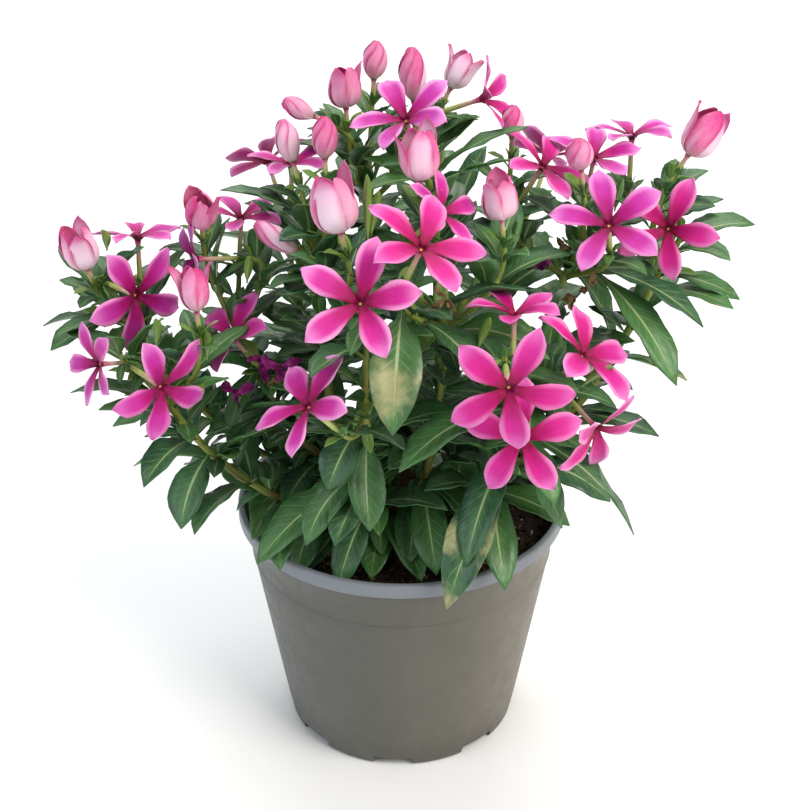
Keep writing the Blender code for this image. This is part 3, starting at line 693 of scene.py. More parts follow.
def stem_controls(foot, fork_place):
    azimuth, height = foot
    out = Vector((sin(radians(azimuth)), -cos(radians(azimuth)), 0))
    start = out * (crown_radius + gap) + soil_plane + Vector((0, 0, height * 0.001))
    fork = from_soil(fork_place)
    reach = (fork - start).length
    arrive = ((fork - start).normalized() + Vector((0, 0, 1.1))).normalized()
    return [start, start + out * reach * 0.34, fork - arrive * reach * 0.36, fork]


def twig_controls(fork, bloom, known):
    """The twig as the CAD model has it: the bow whose rings are really there."""
    end = bloom.end - bloom.axis * gap
    line = end - fork
    side = Vector((line.y, -line.x, 0)).normalized()
    best = None
    for bow in bows:
        bend = (side * bow[0] + Vector((0, 0, 1)) * bow[1]) * 0.001
        controls = [fork, end - bloom.axis * line.length * 0.45 + bend, end]
        found = 0
        for t in (1 / twig_pieces, 2 / twig_pieces):
            ring = twig_radius * (1.2 - 0.2 * t)
            near = known.find_range(bezier(controls, t), ring * 1.1)
            found += sum(1 for _, _, away in near if away > ring * 0.9)
        if best is None or found > best[0]:
            best = (found, controls)
    return best[1]


def mark(mesh, name, values):
    """Gives every point of a mesh a named number."""
    mesh.attributes.new(name, "FLOAT", "POINT").data.foreach_set("value", values)


stem_verts = []
stem_edges = []
stem_radii = []
stem_age = []
stem_lines = {}


def add_stem(controls, start_radius, end_radius, steps, age, node_places=()):
    first = len(stem_verts)
    for k in range(steps + 1):
        t = k / steps
        swell = sum(max(0.0, 1 - abs(t - n) * steps / 1.3) for n in node_places) * 0.28
        stem_verts.append(bezier(controls, t))
        stem_radii.append((start_radius + (end_radius - start_radius) * t) * (1 + swell))
        stem_age.append(age * (1 - t))
        if k:
            stem_edges.append((first + k - 1, first + k))


main_nodes = [0.14 + 0.12 * k for k in range(8)]
for name, foot, fork, carried in shoots:
    cad_mesh = welded(name)
    tree = KDTree(len(cad_mesh.verts))
    for index, vert in enumerate(cad_mesh.verts):
        tree.insert(vert.co, index)
    tree.balance()
    cad_mesh.free()
    main = stem_controls(foot, fork)
    main_start = main[0] - (main[1] - main[0]).normalized() * 0.0012
    add_stem([main_start, *main[1:]], stem_radius, twig_radius * 1.4, 40, 1.0, main_nodes)
    lines = [main]
    for bloom in carried:
        lines.append(twig_controls(main[-1], blooms[bloom], tree))
        add_stem(lines[-1], twig_radius * 1.25, twig_radius, 14, 0.25, (0.55,))
    stem_lines[name] = lines

stem_points = bpy.data.meshes.new("stem_points")
stem_points.from_pydata([tuple(v) for v in stem_verts], stem_edges, [])
mark(stem_points, "thick", stem_radii)
mark(stem_points, "age", stem_age)
stem_tree = Tree("stems", Sides=9)
line = stem_tree.add("GeometryNodeMeshToCurve", Mesh=stem_tree.given.outputs["Geometry"])
line = stem_tree.add("GeometryNodeSetCurveRadius", Curve=line.outputs[0], Radius=stem_tree.number("thick"))
sides = stem_tree.given.outputs["Sides"]
ring = stem_tree.add("GeometryNodeCurvePrimitiveCircle", Resolution=sides, Radius=1.0)
skin = stem_tree.add("GeometryNodeCurveToMesh", Curve=line.outputs[0], Profile_Curve=ring.outputs["Curve"])
skin.inputs["Fill Caps"].default_value = True
stem_tree.fill(skin.inputs["Scale"], stem_tree.number("thick"))
bark_green = Finish("stem_skin", 0.5, Specular_IOR_Level=0.45)
age = bark_green.own_value("age")
grain = bark_green.noise(420, bark_green.place((1, 1, 0.25)), detail=4)
stem_colour = bark_green.ramp(age, ((0.0, "8fa34a"), (0.35, "78883a"), (0.85, "6d5a34")))
stem_colour = bark_green.mix(bark_green.step(grain, 0.45, 0.75, 0, 0.45), stem_colour, "9a5a3c")
bark_green.colour(stem_colour)
bark_green.bump(grain, 0.4, 0.0003)
stem_tree.finish(skin.outputs["Mesh"], bark_green.material)
stems = made_plain(stem_tree.grow("stems", stem_points))
stems.data.shade_smooth()
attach(stems, "root")

crown_low, crown_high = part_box("crown")
crown_sides = 40
crown_profile = [(0, crown_low.z), (crown_radius, crown_low.z)]
crown_steps = 16
for k in range(crown_steps + 1):
    t = k / crown_steps
    radius = crown_radius * (1.02 - 0.30 * max(0, t - 0.85) / 0.15)
    crown_profile.append((radius, crown_low.z + 0.001 + (crown_high.z - crown_low.z - 0.001) * t))
crown_profile.append((0, crown_high.z))
crown = new_object("woody_crown", mesh_of("woody_crown", *turned(crown_profile, crown_sides)))
for vert in crown.data.vertices:
    a = atan2(vert.co.y, vert.co.x)
    ridge = 1 - 0.05 * abs(sin(a * 4 + vert.co.z * 60)) - 0.05 * abs(fractal(vert.co * 300, 0.9, 2, 3))
    vert.co.x *= ridge
    vert.co.y *= ridge
wood = Finish("crown_bark", 0.9, Specular_IOR_Level=0.25)
fibres = wood.noise(260, wood.place((1, 1, 0.15)), detail=6, rough=0.7)
wood.colour(wood.ramp(fibres, ((0.3, "2e2117"), (0.5, "5b4630"), (0.72, "8a7350"))))
wood.bump(fibres, 0.9, 0.0012)
crown.data.materials.append(wood.material)
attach(crown, "root")
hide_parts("crown")


# ---- Leaves ----------------------------------------------------------------------------------------
# Narrow, leathery leaves in crossed pairs, dark and glossy above with a pale midrib and paler below.
# They are folded a little along the midrib, arched, and wavy at the edge. A few older ones are yellowed.

leaf_plate = 0.0009
leaf_shares = (0.30, 0.66)


def leaves_of(shoot):
    """Foot, tip, upper side, width and arch of every leaf of a shoot, read from its CAD solid."""
    mesh = welded(shoot)
    found = []
    for tip in mesh.verts:
        around = [edge.other_vert(tip) for edge in tip.link_edges]
        if len(around) != 4:
            continue
        pairs = [(a, b) for i, a in enumerate(around) for b in around[i + 1:]]
        thin = [p for p in pairs if abs((p[0].co - p[1].co).length - leaf_plate) < 0.00002]
        if len(thin) != 1:
            continue
        top, bottom = thin[0]
        left, right = [v for v in around if v not in thin[0]]
        middle = (top.co + bottom.co) / 2
        up = (left.co + right.co) / 2 - middle
        width = (left.co - right.co).length / 0.94
        if up.length < 1e-5 or width < 0.003:
            continue
        inner = []
        for side in (top, bottom):
            back = [edge.other_vert(side) for edge in side.link_edges]
            back = [v for v in back if v not in around and v is not tip]
            if back:
                ahead = (tip.co - side.co).normalized()
                inner.append(min(back, key=lambda v: (v.co - side.co).normalized().dot(ahead)).co)
        second = None
        if len(inner) == 2 and abs((inner[0] - inner[1]).length - leaf_plate) < 0.0001:
            second = (inner[0] + inner[1]) / 2
        a, b = leaf_shares
        if second is not None:
            foot = (second * b / ((a - b) * (a - 1)) + middle * a / ((b - a) * (b - 1)) +
                    tip.co * (a * b) / ((1 - a) * (1 - b)))
        else:
            foot = tip.co + (middle - tip.co) / (1 - b)
        found.append((foot, tip.co.copy(), up.normalized(), width, middle))
    mesh.free()
    return found


leaf_records = {name: leaves_of(name) for name, _, _, _ in shoots}
numbers = np.random.default_rng(11)


def point_cloud(name, rows, vectors, values):
    """A mesh of loose points that carries each row's vectors and numbers as named attributes."""
    mesh = bpy.data.meshes.new(name)
    mesh.from_pydata([tuple(row[vectors[0]]) for row in rows], [], [])
    for key in vectors:
        data = np.array([tuple(row[key]) for row in rows], np.float32).reshape(-1)
        mesh.attributes.new(key, "FLOAT_VECTOR", "POINT").data.foreach_set("vector", data)
    for key in values:
        mark(mesh, key, np.array([row[key] for row in rows], np.float32))
    return mesh


def strip_instances(tree, along, across):
    """A unit strip on every point, made real, with u from foot to tip and v from side to side."""
    grid = tree.add("GeometryNodeMeshGrid", Size_X=1.0, Size_Y=2.0)
    grid.inputs["Vertices X"].default_value = along + 1
    grid.inputs["Vertices Y"].default_value = across + 1
    place = tree.add("GeometryNodeInputPosition")
    split = tree.add("ShaderNodeSeparateXYZ", Vector=place.outputs[0])
    geometry = grid.outputs["Mesh"]
    u = Field(tree, split.outputs["X"]) + 0.5
    v = Field(tree, split.outputs["Y"])
    for name, value in (("u", u), ("v", v)):
        geometry = tree.add("GeometryNodeStoreNamedAttribute", {"data_type": "FLOAT", "domain": "POINT"},
                            Geometry=geometry, Name=name, Value=value).outputs["Geometry"]
    both = tree.add("ShaderNodeCombineXYZ", X=tree.number("u"), Y=tree.number("v") * 0.5 + 0.5)
    geometry = tree.add("GeometryNodeStoreNamedAttribute", {"data_type": "FLOAT2", "domain": "CORNER"},
                        Geometry=geometry, Name="UVMap", Value=both.outputs[0]).outputs["Geometry"]
    placed = tree.add(
        "GeometryNodeInstanceOnPoints", Points=tree.given.outputs["Geometry"], Instance=geometry)
    return tree.add("GeometryNodeRealizeInstances", Geometry=placed.outputs[0]).outputs[0]


def shaped(tree, geometry, place):
    moved = tree.add("GeometryNodeSetPosition", Geometry=geometry)
    tree.fill(moved.inputs["Position"], place)
    return moved.outputs[0]


leaf_tree = Tree("leaves", Fold=0.30, Ripple=0.020, Waves=16.0)
leaf_strip = strip_instances(leaf_tree, 10, 4)
u = leaf_tree.number("u")
v = leaf_tree.number("v")
foot = leaf_tree.vector("foot")
along = leaf_tree.vector("along")
up = leaf_tree.vector("up")
half = leaf_tree.number("half_width")
length = leaf_tree.number("length")
phase = leaf_tree.number("phase")
outline = leaf_tree.curve(u, (
    (0.0, 0.10), (0.07, 0.13), (0.20, 0.52), (0.38, 0.88), (0.55, 1.0), (0.74, 0.86), (0.90, 0.46),
    (1.0, 0.02)))
beside = along.cross(up).unit()
roll = leaf_tree.number("twist") * (u - 0.2)
beside_turned = beside * roll.cosine() + up * roll.sine()
up_turned = up * roll.cosine() - beside * roll.sine()
reach = half * outline * v
edge = v.size()
fold_height = half * outline * edge.power(1.4) * leaf_tree.number("Fold") * leaf_tree.number("fold")
ripple = (u * leaf_tree.number("Waves") + phase + v * 1.5).sine() * edge.power(2.0) * length
ripple = ripple * leaf_tree.number("Ripple") * outline
arch = u * (1.0 - u) * 4.0 * leaf_tree.number("droop") * length
curl = u.power(3.0) * leaf_tree.number("tip_curl") * length
sway = (u * pi).sine() * leaf_tree.number("sway") * length
place = foot + along * (u * length) + beside_turned * (reach + sway)
place = place + up_turned * (fold_height + ripple) + up * (arch - curl)


def leaf_finish(name, dark, mid, light, rib, roughness, pale_side):
    skin = Finish(name, roughness, Specular_IOR_Level=0.5)
    down, across = skin.parts(skin.own_map())[:2]
    side = skin.math("ABSOLUTE", skin.math("MULTIPLY_ADD", across, 2.0, -1.0))
    tone = skin.own_value("tone")
    mottle = skin.noise(130, detail=4)
    body = skin.mix(skin.step(mottle, 0.3, 0.7), dark, mid)
    body = skin.mix(skin.math("MULTIPLY", tone, 0.85), body, light)
    body = skin.mix(skin.step(tone, 0.70, 1.0, 0, 0.65), body, "86a03e")
    near_rib = skin.step(side, 0.42, 0.0, 0, 0.35)
    body = skin.mix(near_rib, body, light)
    slant = skin.math("MULTIPLY_ADD", down, 62.0, skin.math("MULTIPLY", side, -13.0))
    vein_wave = skin.math("SINE", slant)
    vein = skin.step(vein_wave, 0.72, 1.0)
    vein_share = skin.math("MULTIPLY", vein, skin.step(side, 0.96, 0.3, 0, 0.13))
    body = skin.mix(vein_share, body, rib)
    rib_width = skin.step(down, 0.0, 1.0, 0.11, 0.030)
    soft_rib = skin.step(skin.math("DIVIDE", side, rib_width), 1.25, 0.55)
    fade = skin.step(down, 1.0, 0.70, 0.15, 0.80)
    body = skin.mix(skin.math("MULTIPLY", soft_rib, fade), body, rib)
    patch = skin.step(skin.noise(60, detail=4), 0.42, 0.62)
    faded = skin.math("MULTIPLY", skin.own_value("faded"), skin.step(down, 0.35, 0.6))
    faded = skin.math("MULTIPLY", patch, faded)
    body = skin.mix(faded, body, "aaa877")
    if pale_side:
        body = skin.mix(0.35, body, "7f9d76")
    skin.colour(body)
    skin.roughness(skin.step(mottle, 0.3, 0.7, roughness - 0.06, roughness + 0.08))
    height = skin.math("MULTIPLY_ADD", soft_rib, -0.9, skin.math("MULTIPLY", vein, -0.40))
    skin.bump(height, 0.6, 0.0005)
    return skin.material


leaf_top = leaf_finish("leaf_upper_side", "254731", "39653f", "5c9142", "b4c694", 0.36, False)
leaf_under = leaf_finish("leaf_underside", "3b6248", "4b7353", "76a05c", "bfcf9f", 0.58, True)
leaf_tree.finish(shaped(leaf_tree, leaf_strip, place), leaf_top)


def thickened(piece, thickness, under):
    """Gives the blades their thickness, with the underside in its own finish."""
    plate = piece.modifiers.new("thickness", "SOLIDIFY")
    plate.thickness = thickness
    plate.offset = 0
    plate.material_offset = 1
    plate.use_rim = True
    made_plain(piece)
    piece.data.materials.append(under)
    piece.data.shade_smooth()
    return piece


def leaf_row(foot, tip, upward, width, middle=None, fresh=0.0):
    along_way = tip - foot
    length = along_way.length
    along_way = along_way / length
    upward = (upward - along_way * upward.dot(along_way)).normalized()
    droop = 0.06
    if middle is not None:
        share = leaf_shares[1]
        droop = (middle - foot - along_way * length * share).dot(upward) / (4 * length * share * (1 - share))
    light = float(np.clip(numbers.normal(0.30 + fresh, 0.20), 0, min(1.0, 0.60 + fresh)))
    return {
        "foot": foot, "along": along_way, "up": upward, "length": length * 1.02, "half_width": width * 0.56,
        "droop": droop, "phase": numbers.uniform(0, tau), "twist": numbers.normal(0, 0.30),
        "fold": numbers.uniform(0.5, 1.5), "tip_curl": numbers.uniform(-0.02, 0.10),
        "sway": numbers.normal(0, 0.02), "tone": light, "faded": 0.0,
    }


leaf_vectors = ("foot", "along", "up")
leaf_values = ("length", "half_width", "droop", "phase", "twist", "fold", "tip_curl", "sway", "tone", "faded")
leaf_tips = [(name, k, record[1]) for name, found in leaf_records.items() for k, record in enumerate(found)]
worn_leaves = set()
for worn in ((-3, -88, 94), (16, -82, 16), (106, -12, 76), (-60, -38, 28), (104, 24, 60)):
    name, k, _ = min(leaf_tips, key=lambda entry: (entry[2] - from_soil(worn)).length)
    worn_leaves.add((name, k))
for name, found in leaf_records.items():
    rows = [leaf_row(foot, tip, upward, width, middle) for foot, tip, upward, width, middle in found]
    for k, row in enumerate(rows):
        row["faded"] = 0.85 if (name, k) in worn_leaves else 0.0
    points = point_cloud("leaves_of_" + name, rows, leaf_vectors, leaf_values)
    leaves = leaf_tree.grow("leaves_of_" + name, points)
    thickened(leaves, 0.00045, leaf_under)
    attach(leaves, "root")
    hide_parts(name)


# ---- Young leaves, leaf spikes and spent bits ------------------------------------------------------
# Fresh small leaves stand round each fork, along the stems and under the blooms, and the newest are still
# folded into pale spikes. A few dried calyxes and shrivelled petals hang where blooms have gone over.

young_rows = []


def young_leaf(foot, way, length, width, fresh):
    level = Vector((way.x, way.y, 0))
    upward = -level if way.z > 0.4 else Vector((0, 0, 1))
    young_rows.append(leaf_row(foot, foot + way.normalized() * length, upward, width, None, fresh))


young_places = ((0.06, 2, 0.012, 0.020), (0.30, 2, 0.010, 0.018), (0.94, 3, 0.008, 0.014))
for name, lines in stem_lines.items():
    main = lines[0]
    for k in range(30):
        t = numbers.uniform(0.12, 0.96)
        foot = bezier(main, t)
        ahead = (bezier(main, min(1, t + 0.02)) - bezier(main, t - 0.02)).normalized()
        out = Quaternion(ahead, numbers.uniform(0, tau)) @ ahead.orthogonal().normalized()
        way = out + ahead * numbers.uniform(0.1, 0.9)
        size = numbers.uniform(0.012, 0.024)
        young_leaf(foot, way, size, size * 0.36, 0.0)
    for line in lines[1:]:
        for t, count, low, high in young_places:
            foot = bezier(line, t)
            ahead = (bezier(line, min(1, t + 0.02)) - bezier(line, max(0, t - 0.02))).normalized()
            turn = numbers.uniform(0, tau)
            for k in range(count):
                out = Quaternion(ahead, turn + tau * k / count) @ ahead.orthogonal().normalized()
                size = numbers.uniform(low, high)
                young_leaf(foot, out + ahead * numbers.uniform(0.6, 1.3), size, size * 0.33, 0.50)

spikes = (
    ((-91, -50, 108), (-90, -50, 120)), ((-73, -45, 100), (-73, -45, 113)),
    ((-12, -40, 145), (-12, -40, 172)), ((-114, -10, 130), (-115, -10, 139)),
    ((42, -30, 141), (43, -30, 150)), ((66, -66, 100), (77, -66, 108)),
    ((28, -60, 112), (32, -60, 125)), ((-11, -38, 147), (-8, -38, 165)),
    ((-60, -14, 118), (-58, -14, 130)), ((84, 6, 140), (86, 6, 154)),
    ((98, 2, 138), (101, 0, 152)), ((14, 10, 150), (16, 12, 166)),
)
for low, high in spikes:
    young_rows.append(leaf_row(from_soil(low), from_soil(high), Vector((0, 1, 0)), 0.0030, None, 0.6))
    young_rows[-1].update(fold=4.0, twist=0.2)
young = leaf_tree.grow("young_leaves", point_cloud("young_leaves", young_rows, leaf_vectors, leaf_values))
thickened(young, 0.00035, leaf_under)
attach(young, "root")

dried = Finish("dried_calyx", 0.85, Specular_IOR_Level=0.2)
dried.colour(dried.ramp(dried.noise(500), ((0.3, "3a2a1c"), (0.55, "7d6242"), (0.8, "b59a6c"))))
dried.bump(dried.noise(900), 0.6, 0.0004)
withered = Finish("withered_petal", 0.8, Specular_IOR_Level=0.2)
withered.colour(withered.ramp(withered.noise(420), ((0.3, "4a1240"), (0.55, "8c2070"), (0.8, "b05a98"))))
withered.bump(withered.noise(700), 0.6, 0.0005)


def shrivelled(name, places, size, width, finish):
    """Small curled scraps that hang at these places."""
    rows = []
    for place in places:
        for k in range(4):
            away = (numbers.normal(0, 1), numbers.normal(0, 1), numbers.normal(-0.6, 1))
            foot = from_soil(place)
            tip = foot + Vector(away).normalized() * size * numbers.uniform(0.6, 1.1)
            rows.append(leaf_row(foot, tip, Vector((0.3, -1, 0.2)), width))
            rows[-1].update(twist=numbers.normal(0, 2.5), fold=3.0, tip_curl=numbers.uniform(-0.5, 0.5))
    scraps = leaf_tree.grow(name, point_cloud(name, rows, leaf_vectors, leaf_values), Ripple=0.08)
    thickened(scraps, 0.00030, leaf_under)
    scraps.data.materials.clear()
    scraps.data.materials.append(finish.material)
    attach(scraps, "root")


shrivelled("dried_calyxes", (
    (16, -62, 133), (62, -5, 131), (72, -20, 120), (-49, -30, 86), (-120, -28, 92), (-40, -30, 84),
    (66, -10, 112)), 0.0065, 0.0022, dried)
shrivelled("withered_petals", (
    (-65, -32, 79), (54, -10, 128), (-56, -20, 88), (-47, -34, 92)), 0.0085, 0.0034, withered)


# ---- Petals ----------------------------------------------------------------------------------------
# Five thin, satiny petals on each bloom, magenta with paler edges and a crimson throat, and paler
# behind. Open ones lie flat or a little arched, like a pinwheel; in a bud they are furled in a spiral.

petal_tree = Tree("petals", Crease=0.16)
petal_strip = strip_instances(petal_tree, 11, 6)
u = petal_tree.number("u")
v = petal_tree.number("v")
hub = petal_tree.vector("hub")
facing = petal_tree.vector("facing")
outward = petal_tree.vector("outward")
sideways = facing.cross(outward).unit()
length = petal_tree.number("length")
half = petal_tree.number("half_width")
throat = petal_tree.number("throat")
phase = petal_tree.number("phase")
furl = petal_tree.number("furl")
petal_outline = petal_tree.curve(u, (
    (0.0, 0.32), (0.10, 0.36), (0.25, 0.53), (0.42, 0.81), (0.58, 1.0), (0.74, 0.93), (0.90, 0.52),
    (1.0, 0.03)))
closed_outline = petal_tree.curve(u, (
    (0.0, 0.50), (0.15, 0.72), (0.40, 1.0), (0.60, 0.98), (0.80, 0.76), (0.93, 0.38), (1.0, 0.04)))
width_here = half * (petal_outline * (1.0 - furl) + closed_outline * furl)


def arc(share, start, end, size):
    """How far out and how far up a bend of this length has gone, its angles measured from flat."""
    turn = end - start + 0.0001
    now = start + turn * share
    out = (now.sine() - start.sine()) / turn * size
    rise = (start.cosine() - now.cosine()) / turn * size
    return out, rise


neck_share = petal_tree.number("neck")
neck_u = (u / neck_share).at_most(1.0)
blade_u = ((u - neck_share) / (1.0 - neck_share)).at_least(0.0)
low_angle = petal_tree.number("angle_0")
mid_angle = petal_tree.number("angle_1")
high_angle = petal_tree.number("angle_2")
neck_out, neck_up = arc(neck_u, low_angle, mid_angle, neck_share * length)
blade_out, blade_up = arc(blade_u, mid_angle, high_angle, (1.0 - neck_share) * length)
reach_out = throat + neck_out + blade_out
rise = neck_up + blade_up
aside = width_here * v + petal_tree.number("skew") * length * u * u
cup = width_here * v * v * petal_tree.number("cup") + width_here * v.size() * petal_tree.number("Crease")
ruffle = (u * 13.0 + phase + v * 2.2).sine() * (v * v) * petal_tree.number("ruffle") * length * u
tilt = width_here * v * petal_tree.number("pinwheel")
wrap = aside / reach_out.at_least(0.0008)
flat_place = outward * reach_out + sideways * aside
spin = wrap + petal_tree.number("spiral") * u
lapped = reach_out + v * petal_tree.number("overlap")
furled_place = (outward * spin.cosine() + sideways * spin.sine()) * lapped
petal_place = hub + flat_place * (1.0 - furl) + furled_place * furl
petal_place = petal_place + facing * (rise + (cup + tilt + ruffle) * (1.0 - furl))


def petal_finish(name, stops, cool_stops, margin, blush, roughness, edge=0.50):
    satin = Finish(name, roughness, Specular_IOR_Level=0.22, Sheen_Weight=0.08, Sheen_Roughness=0.4)
    down, across = satin.parts(satin.own_map())[:2]
    side = satin.math("ABSOLUTE", satin.math("MULTIPLY_ADD", across, 2.0, -1.0))
    tone = satin.own_value("tone")
    shade = satin.mix(satin.own_value("cool"), satin.ramp(down, stops), satin.ramp(down, cool_stops))
    streaks = satin.noise(7, satin.own_map((0.7, 9, 1)), detail=4, rough=0.6)
    shade = satin.mix(satin.step(streaks, 0.42, 0.70, 0, 0.30), shade, blush)
    midline = satin.math("MULTIPLY", satin.step(side, 0.34, 0.0, 0, 0.55), satin.step(down, 0.74, 0.18))
    shade = satin.mix(midline, shade, blush)
    rim = satin.math("MULTIPLY", satin.step(side, edge, 1.0), satin.step(down, 0.22, 0.62))
    rim = satin.math("MULTIPLY", rim, satin.math("MULTIPLY_ADD", tone, 0.70, 0.25))
    shade = satin.mix(rim, shade, margin)
    tip = satin.math("MULTIPLY", satin.step(down, 0.70, 1.0), satin.math("MULTIPLY", tone, 0.6))
    shade = satin.mix(tip, shade, margin)
    cloud = satin.step(satin.noise(110, detail=3), 0.35, 0.7)
    shade = satin.mix(satin.math("MULTIPLY", cloud, 0.16), shade, blush)
    satin.colour(shade)
    satin.bump(streaks, 0.22, 0.0004)
    return satin.material


petal_front = petal_finish(
    "petal_face",
    ((0.0, "54001a"), (0.13, "860034"), (0.30, "b40866"), (0.58, "cf2088"), (0.95, "d94ca8")),
    ((0.0, "4e0022"), (0.13, "740042"), (0.30, "9e0c76"), (0.58, "b832a2"), (0.95, "c65cbe")),
    "f4aadc", "aa0662", 0.52)
petal_back = petal_finish(
    "petal_back",
    ((0.0, "a02c66"), (0.20, "c24a8c"), (0.60, "d670ac"), (0.9, "e292c2")),
    ((0.0, "8e3070"), (0.20, "b0509c"), (0.60, "c47ab8"), (0.9, "d69ccc")),
    "f2c2df", "c04c92", 0.58)
bud_outside = petal_finish(
    "bud_outside",
    ((0.0, "b9a878"), (0.12, "e08aa8"), (0.45, "e2589c"), (0.78, "d4348a"), (1.0, "bc1e70")),
    ((0.0, "c4b890"), (0.12, "ead0da"), (0.45, "f0dae8"), (0.78, "ebc0da"), (1.0, "cf6aa4")),
    "c41e76", "f4d0e2", 0.55, 0.58)
bud_inside = petal_finish(
    "bud_inside",
    ((0.0, "960850"), (0.40, "cc1480"), (0.9, "dc2c96")),
    ((0.0, "960a60"), (0.40, "c81c8c"), (0.9, "da44a8")),
    "e664b4", "c01878", 0.55)
petal_tree.finish(shaped(petal_tree, petal_strip, petal_place), petal_front)

petal_throat = 0.0010
petal_vectors = ("hub", "facing", "outward")
petal_values = ("length", "half_width", "throat", "phase", "furl", "neck", "angle_0", "angle_1", "angle_2",
                "skew", "cup", "ruffle", "pinwheel", "spiral", "overlap", "tone", "cool")


def petal_row(bloom, outward, **shape):
    row = {
        "hub": bloom.hub, "facing": bloom.axis, "outward": outward, "length": 0.0225, "half_width": 0.0068,
        "throat": petal_throat, "phase": numbers.uniform(0, tau), "furl": 0.0, "neck": 0.10, "angle_0": 1.2,
        "angle_1": 0.1, "angle_2": -0.2, "skew": 0.05, "cup": 0.0, "ruffle": 0.02, "pinwheel": 0.10,
        "spiral": 0.0, "overlap": 0.0, "tone": 0.5, "cool": 0.4,
    }
    row.update(shape)
    return row


cool_blooms = {
    "flower_left_front": 0.75, "flower_left_low": 0.65, "flower_left_under": 0.7, "flower_left_centre": 0.5,
    "flower_left_behind": 0.9, "flower_front_left": 0.5, "flower_centre": 0.25, "flower_middle": 0.0,
    "flower_front": 0.15, "flower_front_low": 0.1, "flower_right_front": 0.15, "flower_right_under": 0.2,
    "flower_right_upper": 0.85, "flower_far_right": 0.0, "flower_upper_right": 0.2, "flower_top": 0.8,
    "flower_upper_right_side": 0.75, "flower_upper_right_back": 0.7, "flower_front_edge": 0.1,
}


def open_petals(bloom):
    """The petals of an open bloom, each towards the tip that its CAD solid has."""
    rows = []
    mood = numbers.uniform(0.25, 0.95)
    cool = cool_blooms.get(bloom.node, numbers.uniform(0.1, 0.8))
    for tip in bloom.tips:
        away = tip - bloom.hub
        rise = away.dot(bloom.axis)
        level = away - bloom.axis * rise
        lift = atan2(rise, level.length)
        level = Quaternion(bloom.axis, numbers.normal(0, 0.05)) @ level.normalized()
        bend = numbers.uniform(0.05, 0.45)
        rows.append(petal_row(
            bloom, level, length=bloom.reach * numbers.uniform(1.00, 1.07), half_width=bloom.reach * 0.228,
            angle_0=1.15, angle_1=lift + bend, angle_2=lift - bend * 1.1, cup=numbers.normal(0.05, 0.10),
            skew=numbers.uniform(0.01, 0.06), pinwheel=numbers.uniform(0.05, 0.22),
            ruffle=numbers.uniform(0.01, 0.035), tone=float(np.clip(mood + numbers.normal(0, 0.12), 0, 1)),
            cool=float(np.clip(cool + numbers.normal(0, 0.08), 0, 1))))
    return rows


def across(axis):
    side = Vector((0, 0, 1)).cross(axis)
    return side.normalized() if side.length > 0.05 else Vector((1, 0, 0))


def bud_profile(height, radius, tip_radius, neck):
    """The petal length and bends that give a bud this height, this girth and this width at its mouth."""
    low = np.linspace(0.05, 1.45, 60)[:, None]
    high = np.linspace(0.30, 3.00, 90)[None, :]
    wall = 1.50
    turn_low = wall - low
    turn_high = np.where(np.abs(high - wall) < 1e-3, 1e-3, high - wall)
    rise_low = neck * (np.cos(low) - cos(wall)) / turn_low
    rise_high = (1 - neck) * (cos(wall) - np.cos(high)) / turn_high
    out_low = neck * (sin(wall) - np.sin(low)) / turn_low
    out_high = (1 - neck) * (np.sin(high) - sin(wall)) / turn_high
    length = height / np.maximum(rise_low + rise_high, 1e-3)
    girth_miss = length * out_low + petal_throat - radius
    mouth_miss = length * (out_low + out_high) + petal_throat - tip_radius
    miss = girth_miss ** 2 + mouth_miss ** 2
    row, column = np.unravel_index(np.argmin(miss), miss.shape)
    return float(length[row, column]), float(low[row, 0]), wall, float(high[0, column])


def closed_petals(bloom, half_open):
    """Petals rolled round each other; in a half-open bloom their tips part and two fall open."""
    rows = []
    start = numbers.uniform(0, tau)
    girth = bloom.radius
    first_fallen = int(numbers.integers(5))
    fallen = {first_fallen, (first_fallen + 2) % 5} if half_open else set()
    pale = float(numbers.uniform(0.1, 0.9))
    for k in range(5):
        out = Quaternion(bloom.axis, start + tau * k / 5) @ across(bloom.axis)
        tone = float(np.clip(numbers.normal(0.75, 0.15), 0, 1))
        cool = float(np.clip(pale + numbers.normal(0, 0.40), 0, 1))
        if half_open:
            mouth = girth * numbers.uniform(0.15, 0.60)
            tall = bloom.height * numbers.uniform(0.88, 1.02)
            length, low, wall, high = bud_profile(tall, girth * 0.92, mouth, 0.42)
            if k in fallen:
                high -= numbers.uniform(0.75, 1.15)
            furled = {"half_width": girth * 0.78, "neck": 0.42, "spiral": 0.35, "overlap": 0.0007}
        else:
            length, low, wall, high = bud_profile(bloom.height, girth * 0.88, 0.0008, 0.45)
            furled = {"half_width": girth * 0.92, "neck": 0.45, "spiral": 1.3, "overlap": 0.0005}
        rows.append(petal_row(
            bloom, out, furl=1.0, length=length, angle_0=low, angle_1=wall, angle_2=high,
            tone=tone, cool=cool, **furled))
    return rows


for node, bloom in blooms.items():
    piece_name = node + "_petals"
    if bloom.is_open:
        rows = open_petals(bloom)
    else:
        rows = closed_petals(bloom, node.startswith("half_open") or node == "bud_far_right")
    petals = petal_tree.grow(piece_name, point_cloud(piece_name, rows, petal_vectors, petal_values))
    thickened(petals, 0.00030, petal_back if bloom.is_open else bud_inside)
    if not bloom.is_open:
        petals.data.materials[0] = bud_inside
        petals.data.materials[1] = bud_outside
    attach(petals, "root")
    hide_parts(node)


# ---- Flower tubes, eyes and calyxes ----------------------------------------------------------------
# Under each bloom a slender tube, pale green to rose, rises from a calyx of five narrow green sepals.
# The mouth of an open tube is a small dark ring round a yellow eye.

